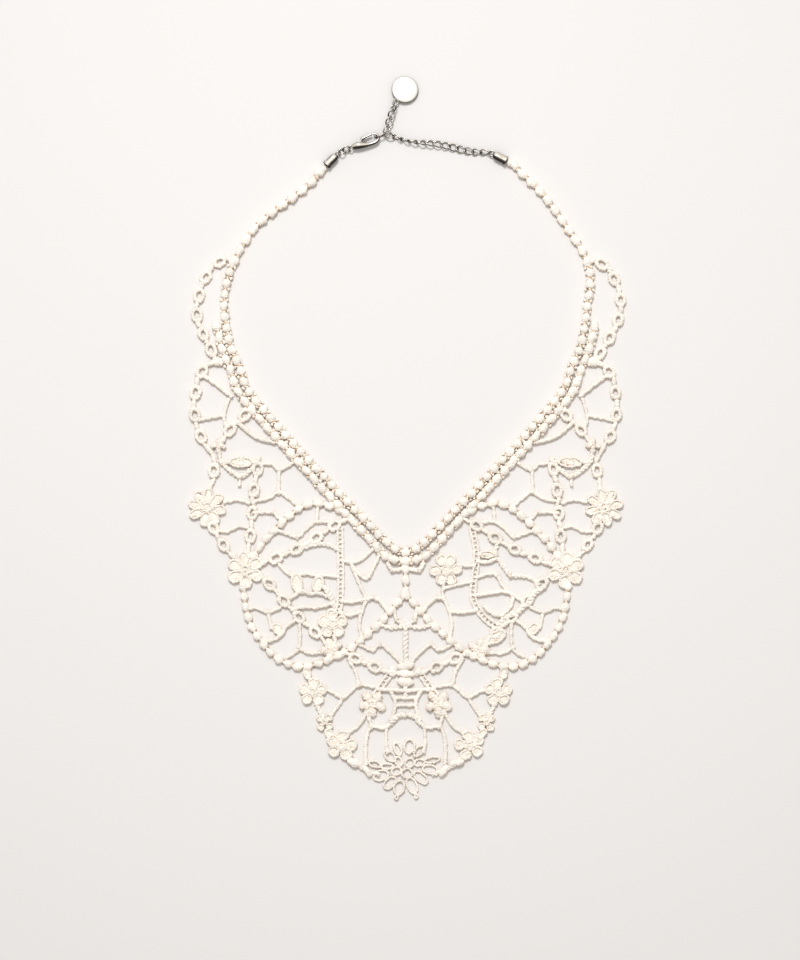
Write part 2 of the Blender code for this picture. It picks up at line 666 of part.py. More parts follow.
def fill_loops(loops, inner):
    """Triangles between an outer loop and the gaps in it, using the inner points."""
    outer = max(range(len(loops)), key=lambda k: signed_area(loops[k]))
    flat = []
    faces = []
    for number, loop in enumerate(loops):
        face = list(range(len(flat), len(flat) + len(loop)))
        faces.append(face if number == outer else face[::-1])
        flat += loop
    found, _, triangles, origin, _, owners = delaunay_2d_cdt(
        flat + inner, [], faces, 0, 1e-7, True)
    if len(found) != len(flat) + len(inner):
        raise ValueError("filling the outline gained or lost points")
    return [[origin[index][0] for index in tri]
            for tri, owner in zip(triangles, owners) if list(owner) == [outer]]


def panel_solid(name, points, triangles, plan, material):
    loops = [simplify([points[index] for index in loop]) for loop in rim_loops(triangles)[0]]
    rim = [corner for loop in loops for corner in loop]
    inner = clear_of_rim(plan.inner, loops)
    count = len(rim)
    top_faces = fill_loops(loops, inner)
    used = sorted({index for tri in top_faces for index in tri if index >= count})
    place = {index: 2 * count + number for number, index in enumerate(used)}
    place.update({index: index for index in range(count)})
    solid = [(x, y, plan.height(x, y)) for x, y in rim]
    solid += [(x, y, 0.0) for x, y in rim]
    solid += [(*inner[index - count], plan.height(*inner[index - count])) for index in used]
    faces = [[place[index] for index in tri] for tri in top_faces]
    faces += [[count + index for index in reversed(tri)] for tri in fill_loops(loops, [])]
    start = 0
    for loop in loops:
        for step in range(len(loop)):
            a = start + step
            b = start + (step + 1) % len(loop)
            faces.append([b, a, count + a, count + b])
        start += len(loop)
    return add_object(name, solid, faces, material)


def make_lace(material):
    plan = draw_lace()
    points, triangles = join_outlines(plan)
    groups = split_panels(points, triangles)
    for name, x, y in PANELS:
        spot = Vector((x, y))
        nearest = min(groups, key=lambda group: min(
            (sum((points[i] for i in tri), Vector((0, 0))) / 3 - spot).length for tri in group))
        panel_solid(name, points, nearest, plan, material)


# Metal pieces

def up_vectors(ahead):
    """Level sideways and upward directions square to the given one."""
    sideways = Vector((-ahead.y, ahead.x, 0.0)).normalized()
    return sideways, ahead.cross(sideways)


def turned(direction, roll):
    """The direction square to the given one, at a roll in degrees from level."""
    sideways, upward = up_vectors(direction)
    angle = math.radians(roll)
    return sideways * math.cos(angle) + upward * math.sin(angle)


def loop_solid(start, end, roll_start, roll_end, wide, steps=12, sides=5):
    """A closed wire link from one wire crossing to the next, twisted between the two rolls."""
    middle = (start + end) / 2
    ahead = (end - start).normalized()
    half_long = (end - start).length / 2
    half_wide = (wide - WIRE) / 2

    def spot(step):
        angle = step * math.tau / steps
        share = (1 + math.cos(angle)) / 2
        outward = turned(ahead, roll_start + (roll_end - roll_start) * share)
        return middle + ahead * half_long * math.cos(angle) + outward * half_wide * math.sin(angle)

    points = []
    faces = []
    for step in range(steps):
        here = spot(step)
        forward = (spot(step + 1) - spot(step - 1)).normalized()
        outward = here - middle
        outward = (outward - forward * outward.dot(forward)).normalized()
        beside = forward.cross(outward)
        for side in range(sides):
            angle = side * math.tau / sides
            points.append(here + (outward * math.cos(angle) + beside * math.sin(angle)) * WIRE / 2)
    for step in range(steps):
        for side in range(sides):
            a = step * sides + side
            b = step * sides + (side + 1) % sides
            c = (step + 1) % steps * sides + (side + 1) % sides
            d = (step + 1) % steps * sides + side
            faces.append([a, b, c, d])
    return points, faces


def swept_solid(path, widths, heights, sides=8):
    """A solid with oval sections along a level path."""
    points = []
    faces = []
    for centre, ahead, width, height in zip(path, directions(path), widths, heights):
        sideways, upward = up_vectors(ahead)
        for side in range(sides):
            angle = (side + 0.5) * math.tau / sides
            points.append(centre + sideways * width / 2 * math.cos(angle)
                          + upward * height / 2 * math.sin(angle))
    for ring in range(len(path) - 1):
        for side in range(sides):
            a = ring * sides + side
            b = ring * sides + (side + 1) % sides
            faces.append([a, b, b + sides, a + sides])
    faces.append(list(range(sides))[::-1])
    last = (len(path) - 1) * sides
    faces.append(list(range(last, last + sides)))
    return points, faces


def in_plan(origin, ahead, along, across, height):
    """A point measured along and across a direction from an origin in the plan."""
    return Vector((origin[0] + ahead.x * along - ahead.y * across,
                   origin[1] + ahead.y * along + ahead.x * across, height))


def join(target, other):
    other.hide_render = True
    other.display_type = "WIRE"
    union = target.modifiers.new("join", "BOOLEAN")
    union.operation = "UNION"
    union.object = other


def make_cap(name, side_mark, metal):
    """A crimped end cap with its eyelet; returns the outermost wire point of the eyelet."""
    mouth, end, eyelet_roll = CAPS[side_mark]
    ahead = (Vector(end) - Vector(mouth)).normalized()
    origin = Vector((*mouth, METAL_HEIGHT))
    forward = Vector((*ahead, 0.0))
    path = [origin + forward * CAP_LONG * share for share, _ in CAP_PROFILE]
    widths = [2 * CAP_RADIUS * wide for _, wide in CAP_PROFILE]
    cap = add_object(name, *swept_solid(path, widths, widths, 14), metal, smooth=True)
    near = origin + forward * (CAP_LONG - 0.05)
    far = near + forward * 2 * EYE_RADIUS
    wide = 2 * EYE_RADIUS + WIRE
    eyelet = add_object(name + "_eyelet", *loop_solid(near, far, eyelet_roll, eyelet_roll, wide),
                        metal, smooth=True)
    join(cap, eyelet)
    return far


def make_run(name, path, first_gap, last_gap, rolls, heights, metal):
    """A run of links through each other along a path, their crossings at the given heights."""
    count = len(rolls)
    length = sum((b - a).length for a, b in zip(path, path[1:]))
    crossings = smooth_path(path, length / count)
    for number, (roll_start, roll_end) in enumerate(rolls):
        start = Vector((*crossings[number], heights[number]))
        end = Vector((*crossings[number + 1], heights[number + 1]))
        ahead = (end - start).normalized()
        start -= ahead * (first_gap if number == 0 else CROSSING / 2)
        end += ahead * (last_gap if number == count - 1 else CROSSING / 2)
        add_object(f"{name}_{number + 1:02d}", *loop_solid(start, end, roll_start, roll_end, LINK_WIDE),
                   metal, smooth=True)


def run_rolls():
    """The slow twist of the extension chain from the cap to the link that the clasp holds."""
    rolls = []
    for number in range(1, CHAIN_LINKS):
        roll = CHAIN_TWIST * (number - FACE_ON_LINK)
        rolls.append((roll - 45, roll + 45))
    rolls.append((rolls[-1][1] - 90, 0))
    return rolls


def rest_height(roll_start, roll_end):
    """How far a link of these rolls reaches below its axis."""
    reach = 0.0
    for step in range(24):
        angle = step * math.tau / 24
        share = (1 + math.cos(angle)) / 2
        roll = math.radians(roll_start + (roll_end - roll_start) * share)
        reach = max(reach, abs((LINK_WIDE - WIRE) / 2 * math.sin(angle) * math.sin(roll)))
    return reach + WIRE / 2


def make_chain(cap_end, metal):
    rolls = run_rolls()
    rests = [rest_height(*pair) for pair in rolls]
    heights = [cap_end.z, *(max(pair) for pair in zip(rests, rests[1:])), LOW_CROSSING]
    path = [cap_end.to_2d(), *(Vector(point) for point in CHAIN_PATH), Vector(JUNCTION)]
    make_run("chain_link", path, CROSSING, CROSSING, rolls, heights, metal)
    tail = [Vector(JUNCTION), Vector(TAG_HOLE)]
    make_run("tail_link", tail, CROSSING, 0.0, TAIL_ROLLS, TAIL_HEIGHTS, metal)


def make_clasp(cap_end, metal):
    eye = Vector(CLASP_EYE)
    ahead = (Vector(JUNCTION) - eye).normalized()
    forward = (Vector((*CLASP_EYE, METAL_HEIGHT)) - cap_end).normalized()
    start = cap_end - forward * CROSSING
    for number, roll in ((1, -45), (2, 45)):
        end = start + forward * 2 * RING_RADIUS
        add_object(f"jump_ring_{number}", *loop_solid(start, end, roll, roll, 2 * RING_RADIUS + WIRE),
                   metal, smooth=True)
        start = end - forward * CROSSING
    for name, rows, in (("clasp_hook", HOOK), ("clasp_lever", LEVER)):
        path = [in_plan(eye, ahead, along, across, CLASP_HEIGHT) for along, across, _, _ in rows]
        widths = [row[2] for row in rows]
        heights = [row[3] for row in rows]
        piece = add_object(name, *swept_solid(path, widths, heights), metal, smooth=True)
        if name == "clasp_hook":
            ring = loop_solid(start, in_plan(eye, ahead, 1.3, 0.0, CLASP_HEIGHT), -45, -45,
                              2 * EYE_RADIUS + WIRE)
            join(piece, add_object("clasp_eye", *ring, metal, smooth=True))
    near = in_plan(eye, ahead, HELD_LINK_START, 0.0, CLASP_HEIGHT)
    far = Vector((*JUNCTION, CLASP_HEIGHT))
    add_object("held_link", *loop_solid(near, far, 90, 90, HELD_LINK_WIDE), metal, smooth=True)


def circle(centre, radius, sides):
    return [Vector(centre) + radius * Vector((math.cos(k * math.tau / sides),
                                              math.sin(k * math.tau / sides))) for k in range(sides)]


def make_tag(metal):
    """The round tag, tilted from the link that holds it down to its far edge."""
    outlines = [circle((TAG_REACH, 0.0), TAG_RADIUS, 32), circle((0.0, 0.0), TAG_EYE_RADIUS, 16)]
    hole = circle((0.0, 0.0), TAG_HOLE_RADIUS, 12)
    points, triangles = cover(outlines, [], [hole])
    loops = [[points[index] for index in loop] for loop in rim_loops(triangles)[0]]
    rim = [corner for loop in loops for corner in loop]
    count = len(rim)
    solid = [(x, y, TAG_THICK / 2) for x, y in rim] + [(x, y, -TAG_THICK / 2) for x, y in rim]
    top = fill_loops(loops, [])
    faces = top + [[count + index for index in reversed(tri)] for tri in top]
    start = 0
    for loop in loops:
        for step in range(len(loop)):
            a = start + step
            b = start + (step + 1) % len(loop)
            faces.append([b, a, count + a, count + b])
        start += len(loop)
    tag = add_object("tag", solid, faces, metal, smooth=True)
    tag.location = Vector((*TAG_HOLE, TAG_HEIGHT)) * MM
    tag.rotation_euler = (0.0, math.radians(TAG_TILT), math.radians(TAG_TURN))
    return tag


def main():
    clear_scene()
    lace = make_material("lace", (0.86, 0.80, 0.70), 0.85, 0.0)
    silver = make_material("silver", (0.62, 0.61, 0.58), 0.3, 1.0)
    make_lace(lace)
    left_end = make_cap("cap_left", "left", silver)
    right_end = make_cap("cap_right", "right", silver)
    make_clasp(left_end, silver)
    make_chain(right_end, silver)
    make_tag(silver)
    set_origin()


main()
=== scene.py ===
"""Looks of the lace bib necklace: thread-wound beads, stitched loops, flowers and bars of
cream thread, and the silver chain, caps, clasp and tag, on a pale floor seen from straight above.

Plan points are in millimetres, X to the right and Y up the plan to the clasp, as in the part's
own source, whose tables are repeated here.
"""
import math
import random
from itertools import accumulate

import bpy
import numpy as np
from mathutils import Matrix, Vector


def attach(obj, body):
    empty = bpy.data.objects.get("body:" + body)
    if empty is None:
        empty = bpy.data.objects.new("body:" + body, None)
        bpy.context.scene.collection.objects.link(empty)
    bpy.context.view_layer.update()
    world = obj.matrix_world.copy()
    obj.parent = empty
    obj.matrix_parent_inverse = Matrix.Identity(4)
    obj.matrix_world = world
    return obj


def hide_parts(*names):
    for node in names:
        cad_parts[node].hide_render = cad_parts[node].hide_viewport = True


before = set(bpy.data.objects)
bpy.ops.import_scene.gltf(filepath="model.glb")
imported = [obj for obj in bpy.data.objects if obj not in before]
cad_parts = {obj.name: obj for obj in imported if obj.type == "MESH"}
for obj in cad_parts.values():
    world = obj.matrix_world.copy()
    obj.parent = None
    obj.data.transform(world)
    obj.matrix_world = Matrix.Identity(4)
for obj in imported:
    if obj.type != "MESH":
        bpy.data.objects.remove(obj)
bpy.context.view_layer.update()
chance = random.Random(7)

MM = 0.001
PLAN_MIDDLE = (0.634, -0.014)

# Bead rows and cords, mm: pitch along the row, half width and height of the bead
ROW_PITCH = 4.3
ROW_HALF = 1.72
ROW_TOP = 3.0
ARM_PITCH = 4.8
ARM_HALF = 1.75
ARM_TOP = 2.8
CORD_PITCH = 4.0
CORD_HALF = 1.6
CORD_TOP = 2.3

# Stitched chain links and the necks between them, mm
LACE_LINK_HALF = 3.1
LACE_LINK_WIDE = 4.7
LACE_LINK_RIM = 1.62
NECK_HALF = 1.1
NECK_TOP = 2.0

# Bars, mm and degrees: usual width, the widths from which they are ladders or plaits, and the
# bend that gets a knot
THIN = 1.3
LADDER_WIDE = 2.5
PLAIT_WIDE = 1.7
KNOT_BEND = 38

# Thread windings: their slow swelling, the height of a cord's middle as a share of its top, and
# how far painted shade darkens grooves, low sides, shaded knots and the side away from the light
UNEVEN = 0.1
MIDDLE_HIGH = 0.42
GROOVE_DARK = 1.5
LOW_DARK = 0.5
SHADE_DARK = 0.4
FAR_DARK = 0.65

# Unevenness of the whole lace. Columns: axis, reach in mm
LUMPS = ((0, 0.1), (1, 0.1), (2, 0.07))
LUMP_WAVES = 6
LUMP_LENGTHS = (1.1, 3.4)
LUMP_FULL_HEIGHT = 1.2

# Flowers: place and half length of a petal as shares of the radius, its rim as a share of its half
# width, the middle ring as a share of the radius, and the knots on that ring
PETAL_PLACE = 0.61
PETAL_HALF = 0.4
PETAL_RIM = 0.46
EYE_HALF = 0.3
EYE_KNOTS = 5

# Metal, mm
WIRE = 0.5
WIRE_STEPS = 40
WIRE_SIDES = 12
LINK_WIDE = 3.0
CROSSING = 0.75
CAP_LONG = 5.4
CAP_RADIUS = 1.7
CAP_SIDES = 32
RING_RADIUS = 1.4
EYE_RADIUS = 0.95
METAL_HEIGHT = 1.7
SHARP_EDGE = 50
TAG_SIDES = 72
TAG_EYE_RADIUS = 1.3
TAG_EYE_HALF_THICK = 0.4
TAG_EYE_STEPS = 32
TAG_HOLE_RADIUS = 0.8

# End caps in plan. Columns: mouth, closed end, roll of the eyelet in degrees
CAPS = {
    "left": ((-29.8, 102.5), (-26.1, 106.2), 45),
    "right": ((37.9, 104.2), (32.5, 107.0), -15),
}

# Clasp, from its eye along and across its axis, mm
CLASP_EYE = (-20.9, 109.0)
CLASP_HEIGHT = 1.8
CLASP_EYE_END = 1.3
# Columns: along, across, width, height
HOOK = (
    (0.95, 0.0, 1.5, 1.5),
    (2.2, -0.1, 2.4, 2.3),
    (3.6, -0.3, 2.7, 3.0),
    (5.3, -0.9, 2.1, 2.5),
    (7.4, -1.4, 1.4, 1.9),
    (9.4, -1.5, 1.3, 1.7),
    (10.95, -1.0, 1.2, 1.5),
    (11.55, 0.1, 1.1, 1.4),
    (11.15, 1.1, 1.0, 1.3),
    (10.1, 1.6, 0.9, 1.2),
)
LEVER = (
    (5.0, 1.2, 0.9, 1.3),
    (5.6, 1.5, 1.2, 1.5),
    (6.4, 1.65, 1.1, 1.4),
    (7.4, 1.7, 0.8, 1.2),
    (9.6, 1.7, 0.7, 1.1),
)
HELD_LINK_START = 10.4
HELD_LINK_WIDE = 3.6

# Extension chain and tail, mm and degrees
JUNCTION = (-7.4, 114.5)
CHAIN_PATH = ((25.2, 107.7), (19.2, 109.1), (12.7, 110.6), (6.3, 111.2), (0.5, 111.9))
CHAIN_LINKS = 13
CHAIN_TWIST = 15
FACE_ON_LINK = 5
LOW_CROSSING = 1.4
TAIL_ROLLS = ((0, 60), (-30, 60), (-30, 75), (165, 90))
TAIL_HEIGHTS = (2.2, 1.6, 1.5, 1.5, 1.5)
TAG_HOLE = (-3.8, 126.4)
TAG_HEIGHT = 1.5
TAG_REACH = 5.9
TAG_TILT = 5.0
TAG_TURN = 52.0

# Plan points are (out from the middle line, up from the middle of the plan), in mm.
ARM_LEFT = ((32.2, 100.1), (35.5, 95.9), (41.5, 91.2), (47.6, 86.7), (52.5, 83.0), (57.3, 78.4),
            (61.6, 72.0), (64.4, 66.4))
ARM_RIGHT = ((40.8, 102.8), (44.6, 98.7), (49.4, 94.2), (53.6, 89.3), (57.3, 84.0), (62.6, 76.5),
             (66.2, 70.9), (68.2, 66.4))
INNER_ROW_LEFT = ((64.4, 66.4), (66.8, 60.5), (68.0, 54.0))
INNER_ROW_RIGHT = ((68.2, 66.4), (69.4, 60.5), (69.0, 54.0))
INNER_ROW = ((68.2, 50.0), (67.6, 43.8), (65.8, 34.8), (62.4, 26.9), (57.3, 15.6), (33.0, -11.8),
             (7.7, -38.4), (3.6, -41.6), (0.0, -42.8))
OUTER_ROW = ((71.0, 42.2), (68.8, 33.0), (65.4, 24.9), (60.6, 14.3), (35.9, -13.5), (10.6, -41.0),
             (7.5, -43.8), (4.0, -45.5), (0.0, -46.1))

# Rows of touching beads. Columns: name, points
BEAD_CORDS = (
    ("arc_over_medallion", ((25.0, -26.8), (32.1, -24.3), (38.5, -25.5), (45.3, -30.6),
        (52.8, -38.2), (57.0, -44.0))),
    ("medallion_rim", ((61.0, -55.5), (60.0, -63.7), (57.7, -70.9), (53.6, -77.0),
        (48.5, -82.4), (41.5, -85.6), (34.0, -85.0), (25.5, -81.6))),
    ("triangle_side", ((0.0, -59.0), (3.2, -61.9), (7.5, -67.1), (12.8, -72.2), (18.5, -77.4),
        (23.5, -80.6))),
    ("drop_from_v", ((0.0, -48.6), (0.0, -57.8))),
)

# Chains of stitched oval links: start, middles of the links, end
SCALLOP_LEFT = ((65.8, 66.8), (69.9, 66.4), (75.0, 60.7), (77.6, 53.8), (78.4, 46.4), (76.0, 39.3),
                (73.1, 33.3), (70.8, 28.8))
SCALLOP_RIGHT = ((69.4, 66.2), (73.9, 65.6), (78.4, 60.0), (80.8, 52.2), (79.9, 44.6), (76.6, 37.8),
                 (73.1, 32.1), (70.8, 28.4))
# Columns: name, such a chain
LINK_CORDS = (
    ("scallop_2", ((70.8, 28.8), (76.5, 25.2), (78.9, 17.3), (79.2, 8.9), (76.9, 0.8),
        (72.4, -6.0))),
    ("inside_scallop_2", ((56.9, 13.0), (60.4, 8.8), (66.0, 3.2), (70.2, -3.4))),
    ("chain_in_medallion", ((20.6, -29.6), (26.7, -32.7), (33.7, -37.3), (41.0, -41.6),
        (48.8, -44.9), (55.5, -47.8))),
    ("chain_under_scroll", ((55.0, -51.0), (51.2, -54.6), (45.7, -61.0), (40.0, -67.1),
        (34.0, -72.9), (28.5, -78.6))),
    ("link_to_flower", ((72.4, -6.0), (72.0, -12.0), (73.6, -19.4))),
    ("flower_to_flower", ((73.6, -29.5), (72.2, -33.6), (68.4, -40.0), (63.8, -45.2))),
    ("under_triangle", ((24.0, -80.0), (18.8, -82.6), (11.5, -85.8), (5.6, -88.2))),
    ("link_column", ((55.0, -7.4), (55.6, -11.4), (57.0, -19.4), (57.6, -28.0), (58.3, -36.6),
        (59.4, -44.0))),
)

# Flowers. Columns: name, out, up, radius, petals, turn in degrees
FLOWERS = (
    ("side_flower", 74.6, -25.8, 7.4, 8, 10),
    ("corner_flower", 60.2, -49.4, 7.2, 6, 25),
    ("lower_flower", 34.8, -95.2, 5.6, 5, 20),
    ("lower_rosette", 24.0, -115.2, 6.0, 5, 30),
    ("rim_floret", 30.4, -106.6, 3.8, 4, 40),
    ("link_floret", 70.4, -2.8, 2.8, 4, 0),
    ("trunk_floret", 12.4, -99.6, 5.0, 5, 54),
    ("medallion_floret", 27.6, -79.6, 4.4, 5, 0),
)
# Flowers with a round knot for each petal
KNOTTED_FLOWERS = ("trunk_floret", "medallion_floret", "link_floret")
SCROLL_FLOWER_LEFT = ("scroll_flower", 27.4, -69.6, 5.8, 5, 90)
SCROLL_FLOWER_RIGHT = ("scroll_flower", 15.2, -49.2, 6.4, 6, 0)

# Leaves stitched as loops. Columns: name, out, up, half length, half width, turn in degrees
LEAVES = (
    ("eye_leaf", 61.9, -8.8, 4.9, 2.3, 0),
    ("eye", 61.9, -8.8, 1.7, 1.5, 0),
    ("lower_flower_link", 37.0, -88.0, 2.8, 1.6, 80),
    ("rosette_link", 28.6, -111.0, 2.5, 1.6, 50),
    ("rim_leaf", 47.9, -71.6, 3.0, 2.1, 45),
)
SCROLL_LEAVES_LEFT = (
    ("scroll_leaf", 40.8, -54.3, 4.2, 2.4, 80),
    ("scroll_bud", 32.9, -54.6, 3.3, 2.4, 110),
)
SCROLL_LEAVES_RIGHT = (
    ("scroll_leaf", 34.4, -74.4, 4.0, 2.5, 35),
    ("scroll_bud", 30.6, -43.6, 3.0, 1.6, 0),
)
# Petals of the flower at the point. Columns as for leaves, but X for out
END_PETALS = (
    ("far_left", -9.2, -126.6, 3.4, 2.3, 198),
    ("lower_left", -5.9, -129.4, 3.3, 2.1, 227),
    ("foot", -2.4, -131.2, 3.2, 2.4, 257),
    ("lower_right", 2.4, -130.4, 3.7, 2.2, 294),
    ("right", 5.7, -127.4, 3.6, 2.1, 320),
    ("far_right", 9.2, -124.4, 3.3, 2.1, 350),
    ("small_right", 5.3, -121.8, 2.5, 1.7, 10),
    ("upper_left", -5.9, -119.3, 3.1, 1.9, 137),
    ("top_left", -3.0, -116.6, 3.0, 1.7, 112),
    ("top", 1.5, -115.6, 3.2, 2.3, 82),
    ("top_right", 5.1, -117.4, 3.0, 1.7, 48),
    ("small_left", -6.9, -123.2, 2.7, 1.5, 180),
    ("inner_left", -3.4, -125.0, 2.4, 1.9, 200),
    ("middle_left", -2.6, -121.4, 2.3, 1.6, 110),
    ("middle_right", 1.6, -121.8, 2.2, 2.0, 60),
    ("middle", 0.6, -125.8, 2.6, 2.2, 0),
    ("leaf_left", -11.6, -122.4, 2.8, 1.5, 165),
    ("leaf_right", 10.0, -120.8, 3.4, 1.5, 10),
    ("picot_left", -3.4, -134.8, 1.3, 1.0, 80),
    ("picot_right", 4.0, -134.4, 1.3, 1.0, 100),
)

# Single beads. Columns: name, out, up, half length, half width, turn in degrees, top
BUDS = (
    ("scallop_knot", 70.4, 28.8, 2.2, 1.9, 0, 2.2),
    ("rim_bead", 19.2, -121.8, 2.9, 1.6, 25, 2.6),
    ("petal_bead", 14.4, -124.8, 2.6, 1.4, 52, 2.4),
    ("upper_stack", 0.0, -85.4, 3.1, 1.7, 0, 2.4),
    ("middle_stack", 0.0, -88.4, 3.3, 1.7, 0, 2.6),
    ("lower_stack", 0.0, -91.4, 3.2, 1.7, 0, 2.4),
    ("stack_side", 4.9, -87.6, 1.9, 1.5, 60, 2.2),
)

# Thin stitched bars. Columns: width in mm, points
BARS = (
    (1.6, ((75.5, 23.6), (70.1, 19.7), (65.2, 15.6))),
    (1.5, ((63.0, 6.0), (56.6, 0.8), (49.0, -1.6))),
    (THIN, ((66.4, 15.2), (68.2, 8.8), (67.4, 3.6))),
    (THIN, ((78.5, 6.7), (72.8, 7.9), (68.2, 8.8))),
    (2.0, ((70.2, -5.0), (69.0, -9.2), (62.2, -14.2), (57.4, -11.0))),
    (1.6, ((69.0, -9.0), (65.8, -8.8))),
    (1.6, ((58.2, -8.8), (55.2, -8.8))),
    (THIN, ((62.2, -14.2), (62.4, -18.0))),
    (THIN, ((68.4, -24.0), (63.0, -23.0), (58.4, -24.4))),
    (THIN, ((71.1, -34.6), (67.0, -34.9), (62.6, -33.0), (58.8, -33.6))),
    (THIN, ((55.8, -9.6), (50.3, -9.6), (47.3, -11.7), (42.0, -9.0))),
    (THIN, ((47.6, -11.6), (47.7, -20.2))),
    (THIN, ((57.0, -23.6), (51.5, -22.4), (47.7, -20.2), (44.9, -21.6), (40.2, -25.6))),
    (THIN, ((57.6, -27.9), (50.0, -27.8), (48.0, -29.6), (45.6, -31.2))),
    (THIN, ((51.7, -38.2), (48.3, -34.8), (40.8, -36.9), (37.4, -34.0), (33.7, -31.4),
        (28.4, -31.4))),
    (THIN, ((32.9, -24.8), (33.5, -31.4))),
    (THIN, ((60.2, -64.4), (56.4, -63.6), (51.7, -65.2), (46.6, -63.4))),
    (THIN, ((51.7, -65.2), (50.4, -71.6))),
    (1.5, ((54.4, -75.8), (50.0, -75.7), (46.6, -73.6), (45.0, -70.8), (41.6, -68.4))),
    (THIN, ((39.7, -69.0), (40.2, -78.6), (44.6, -82.4))),
    (THIN, ((40.2, -78.6), (36.6, -80.6), (31.4, -80.4))),
    (1.6, ((7.0, -46.4), (4.9, -49.4), (1.2, -48.9))),
    (1.5, ((14.6, -60.4), (12.0, -59.9), (9.2, -61.6), (6.2, -65.2))),
    (THIN, ((14.6, -60.4), (16.4, -64.9), (17.4, -70.0), (16.4, -75.4))),
    (1.8, ((10.4, -69.4), (6.0, -71.0), (0.0, -70.4))),
    (THIN, ((4.4, -63.6), (3.4, -68.0), (0.0, -70.4))),
    (2.2, ((0.0, -71.0), (0.0, -84.6))),
    (THIN, ((18.0, -77.0), (12.6, -79.5), (9.6, -77.4), (6.6, -79.4), (1.6, -84.4))),
    (THIN, ((33.0, -94.2), (28.4, -94.9), (23.5, -97.3), (20.1, -94.6), (17.1, -92.6),
        (10.6, -93.6))),
    (THIN, ((23.5, -97.3), (25.6, -100.8), (28.6, -104.8))),
    (THIN, ((21.8, -82.4), (18.8, -87.6), (17.6, -92.6))),
    (THIN, ((21.4, -110.6), (17.9, -108.1), (15.4, -104.3), (14.2, -100.4))),
    (THIN, ((14.6, -101.6), (12.8, -108.4))),
    (2.2, ((5.8, -107.2), (2.8, -104.2), (0.0, -103.8))),
    (1.5, ((5.8, -107.2), (8.2, -108.7), (12.9, -108.4), (14.6, -112.0), (15.0, -117.0),
        (14.8, -122.6))),
    (THIN, ((7.2, -108.4), (7.3, -114.6), (6.6, -118.4))),
    (1.6, ((11.0, -94.2), (5.6, -94.4), (0.0, -94.8))),
    (1.8, ((0.0, -91.6), (0.0, -98.2))),
    (1.5, ((5.6, -94.8), (4.0, -98.6), (4.2, -102.0), (5.6, -106.0))),
    (THIN, ((4.4, -97.4), (0.0, -97.5))),
    (THIN, ((4.0, -100.2), (0.0, -100.3))),
    (2.8, ((6.2, -89.0), (9.4, -93.4), (11.6, -96.8))),
    (1.8, ((33.9, -99.4), (31.6, -103.6), (30.6, -106.0))),
    (1.8, ((21.4, -119.2), (19.2, -121.8), (14.4, -124.8), (9.8, -126.4))),
)
SCROLL_BARS_LEFT = (
    (2.8, ((24.6, -33.2), (24.5, -42.6), (24.3, -50.0), (24.6, -61.0), (25.4, -65.0))),
    (1.8, ((40.2, -41.6), (34.0, -39.8), (29.1, -39.9), (24.6, -42.2))),
    (THIN, ((20.9, -46.4), (16.8, -51.5), (14.0, -52.0), (9.6, -43.4))),
    (THIN, ((20.9, -46.4), (17.9, -53.2), (14.6, -60.4))),
    (THIN, ((24.6, -45.6), (20.9, -46.4), (17.0, -45.7), (11.8, -41.2))),
    (1.5, ((43.4, -60.2), (38.9, -57.4), (35.9, -58.4), (32.9, -58.0), (29.1, -59.4))),
    (1.5, ((42.4, -64.2), (37.8, -63.2), (33.8, -63.5), (28.0, -62.2))),
    (2.2, ((31.8, -55.0), (29.1, -57.7), (27.3, -61.9), (26.4, -65.6))),
    (THIN, ((34.2, -51.6), (30.0, -51.4), (24.8, -52.1))),
    (THIN, ((48.0, -46.6), (43.6, -51.0), (37.4, -50.8), (34.0, -51.6))),
    (1.5, ((24.6, -61.0), (20.5, -61.4), (14.6, -60.4))),
    (1.5, ((25.4, -65.2), (20.9, -66.3), (16.4, -64.9))),
    (1.6, ((27.2, -73.6), (26.4, -76.4), (27.6, -79.6))),
)
SCROLL_BARS_RIGHT = (
    (2.8, ((24.8, -32.8), (26.4, -40.6), (26.5, -47.6), (25.8, -53.2), (25.4, -59.6),
        (27.6, -64.5), (30.6, -68.2), (34.4, -70.5))),
    (2.3, ((34.4, -70.5), (37.4, -67.5), (41.5, -65.6), (45.3, -62.2), (48.3, -58.5),
        (52.4, -55.4))),
    (1.8, ((34.6, -39.0), (33.8, -43.6), (36.7, -47.9), (39.3, -51.3), (43.4, -51.7),
        (47.2, -52.5), (50.4, -55.0))),
    (1.5, ((26.6, -46.2), (31.0, -46.4), (34.4, -44.9))),
    (THIN, ((26.4, -52.3), (31.0, -50.9), (34.4, -51.3), (35.9, -54.3), (38.5, -57.7))),
    (1.5, ((25.6, -59.2), (31.8, -58.1), (38.0, -57.7), (44.6, -61.4))),
    (1.5, ((16.4, -64.9), (21.2, -65.3), (27.4, -64.4))),
    (THIN, ((29.4, -63.0), (31.8, -65.2), (35.5, -66.6), (39.4, -63.2), (40.6, -58.6))),
    (THIN, ((14.6, -60.4), (14.1, -56.8), (18.6, -55.1), (25.6, -53.6))),
    (THIN, ((19.7, -47.6), (26.4, -48.0))),
    (THIN, ((14.6, -53.0), (14.1, -56.8))),
    (1.6, ((31.8, -76.8), (29.4, -78.6), (27.6, -79.6))),
)

# Cap profile, with the rolled rim of its mouth. Columns: share of the length, of the radius
CAP_PROFILE = (
    (0.0, 0.9), (0.02, 0.97), (0.05, 1.01), (0.1, 1.02), (0.15, 1.0), (0.18, 0.95), (0.2, 0.88),
    (0.3, 0.88), (0.5, 0.9), (0.7, 0.89), (0.84, 0.84), (0.92, 0.77), (0.97, 0.68), (1.0, 0.55),
)
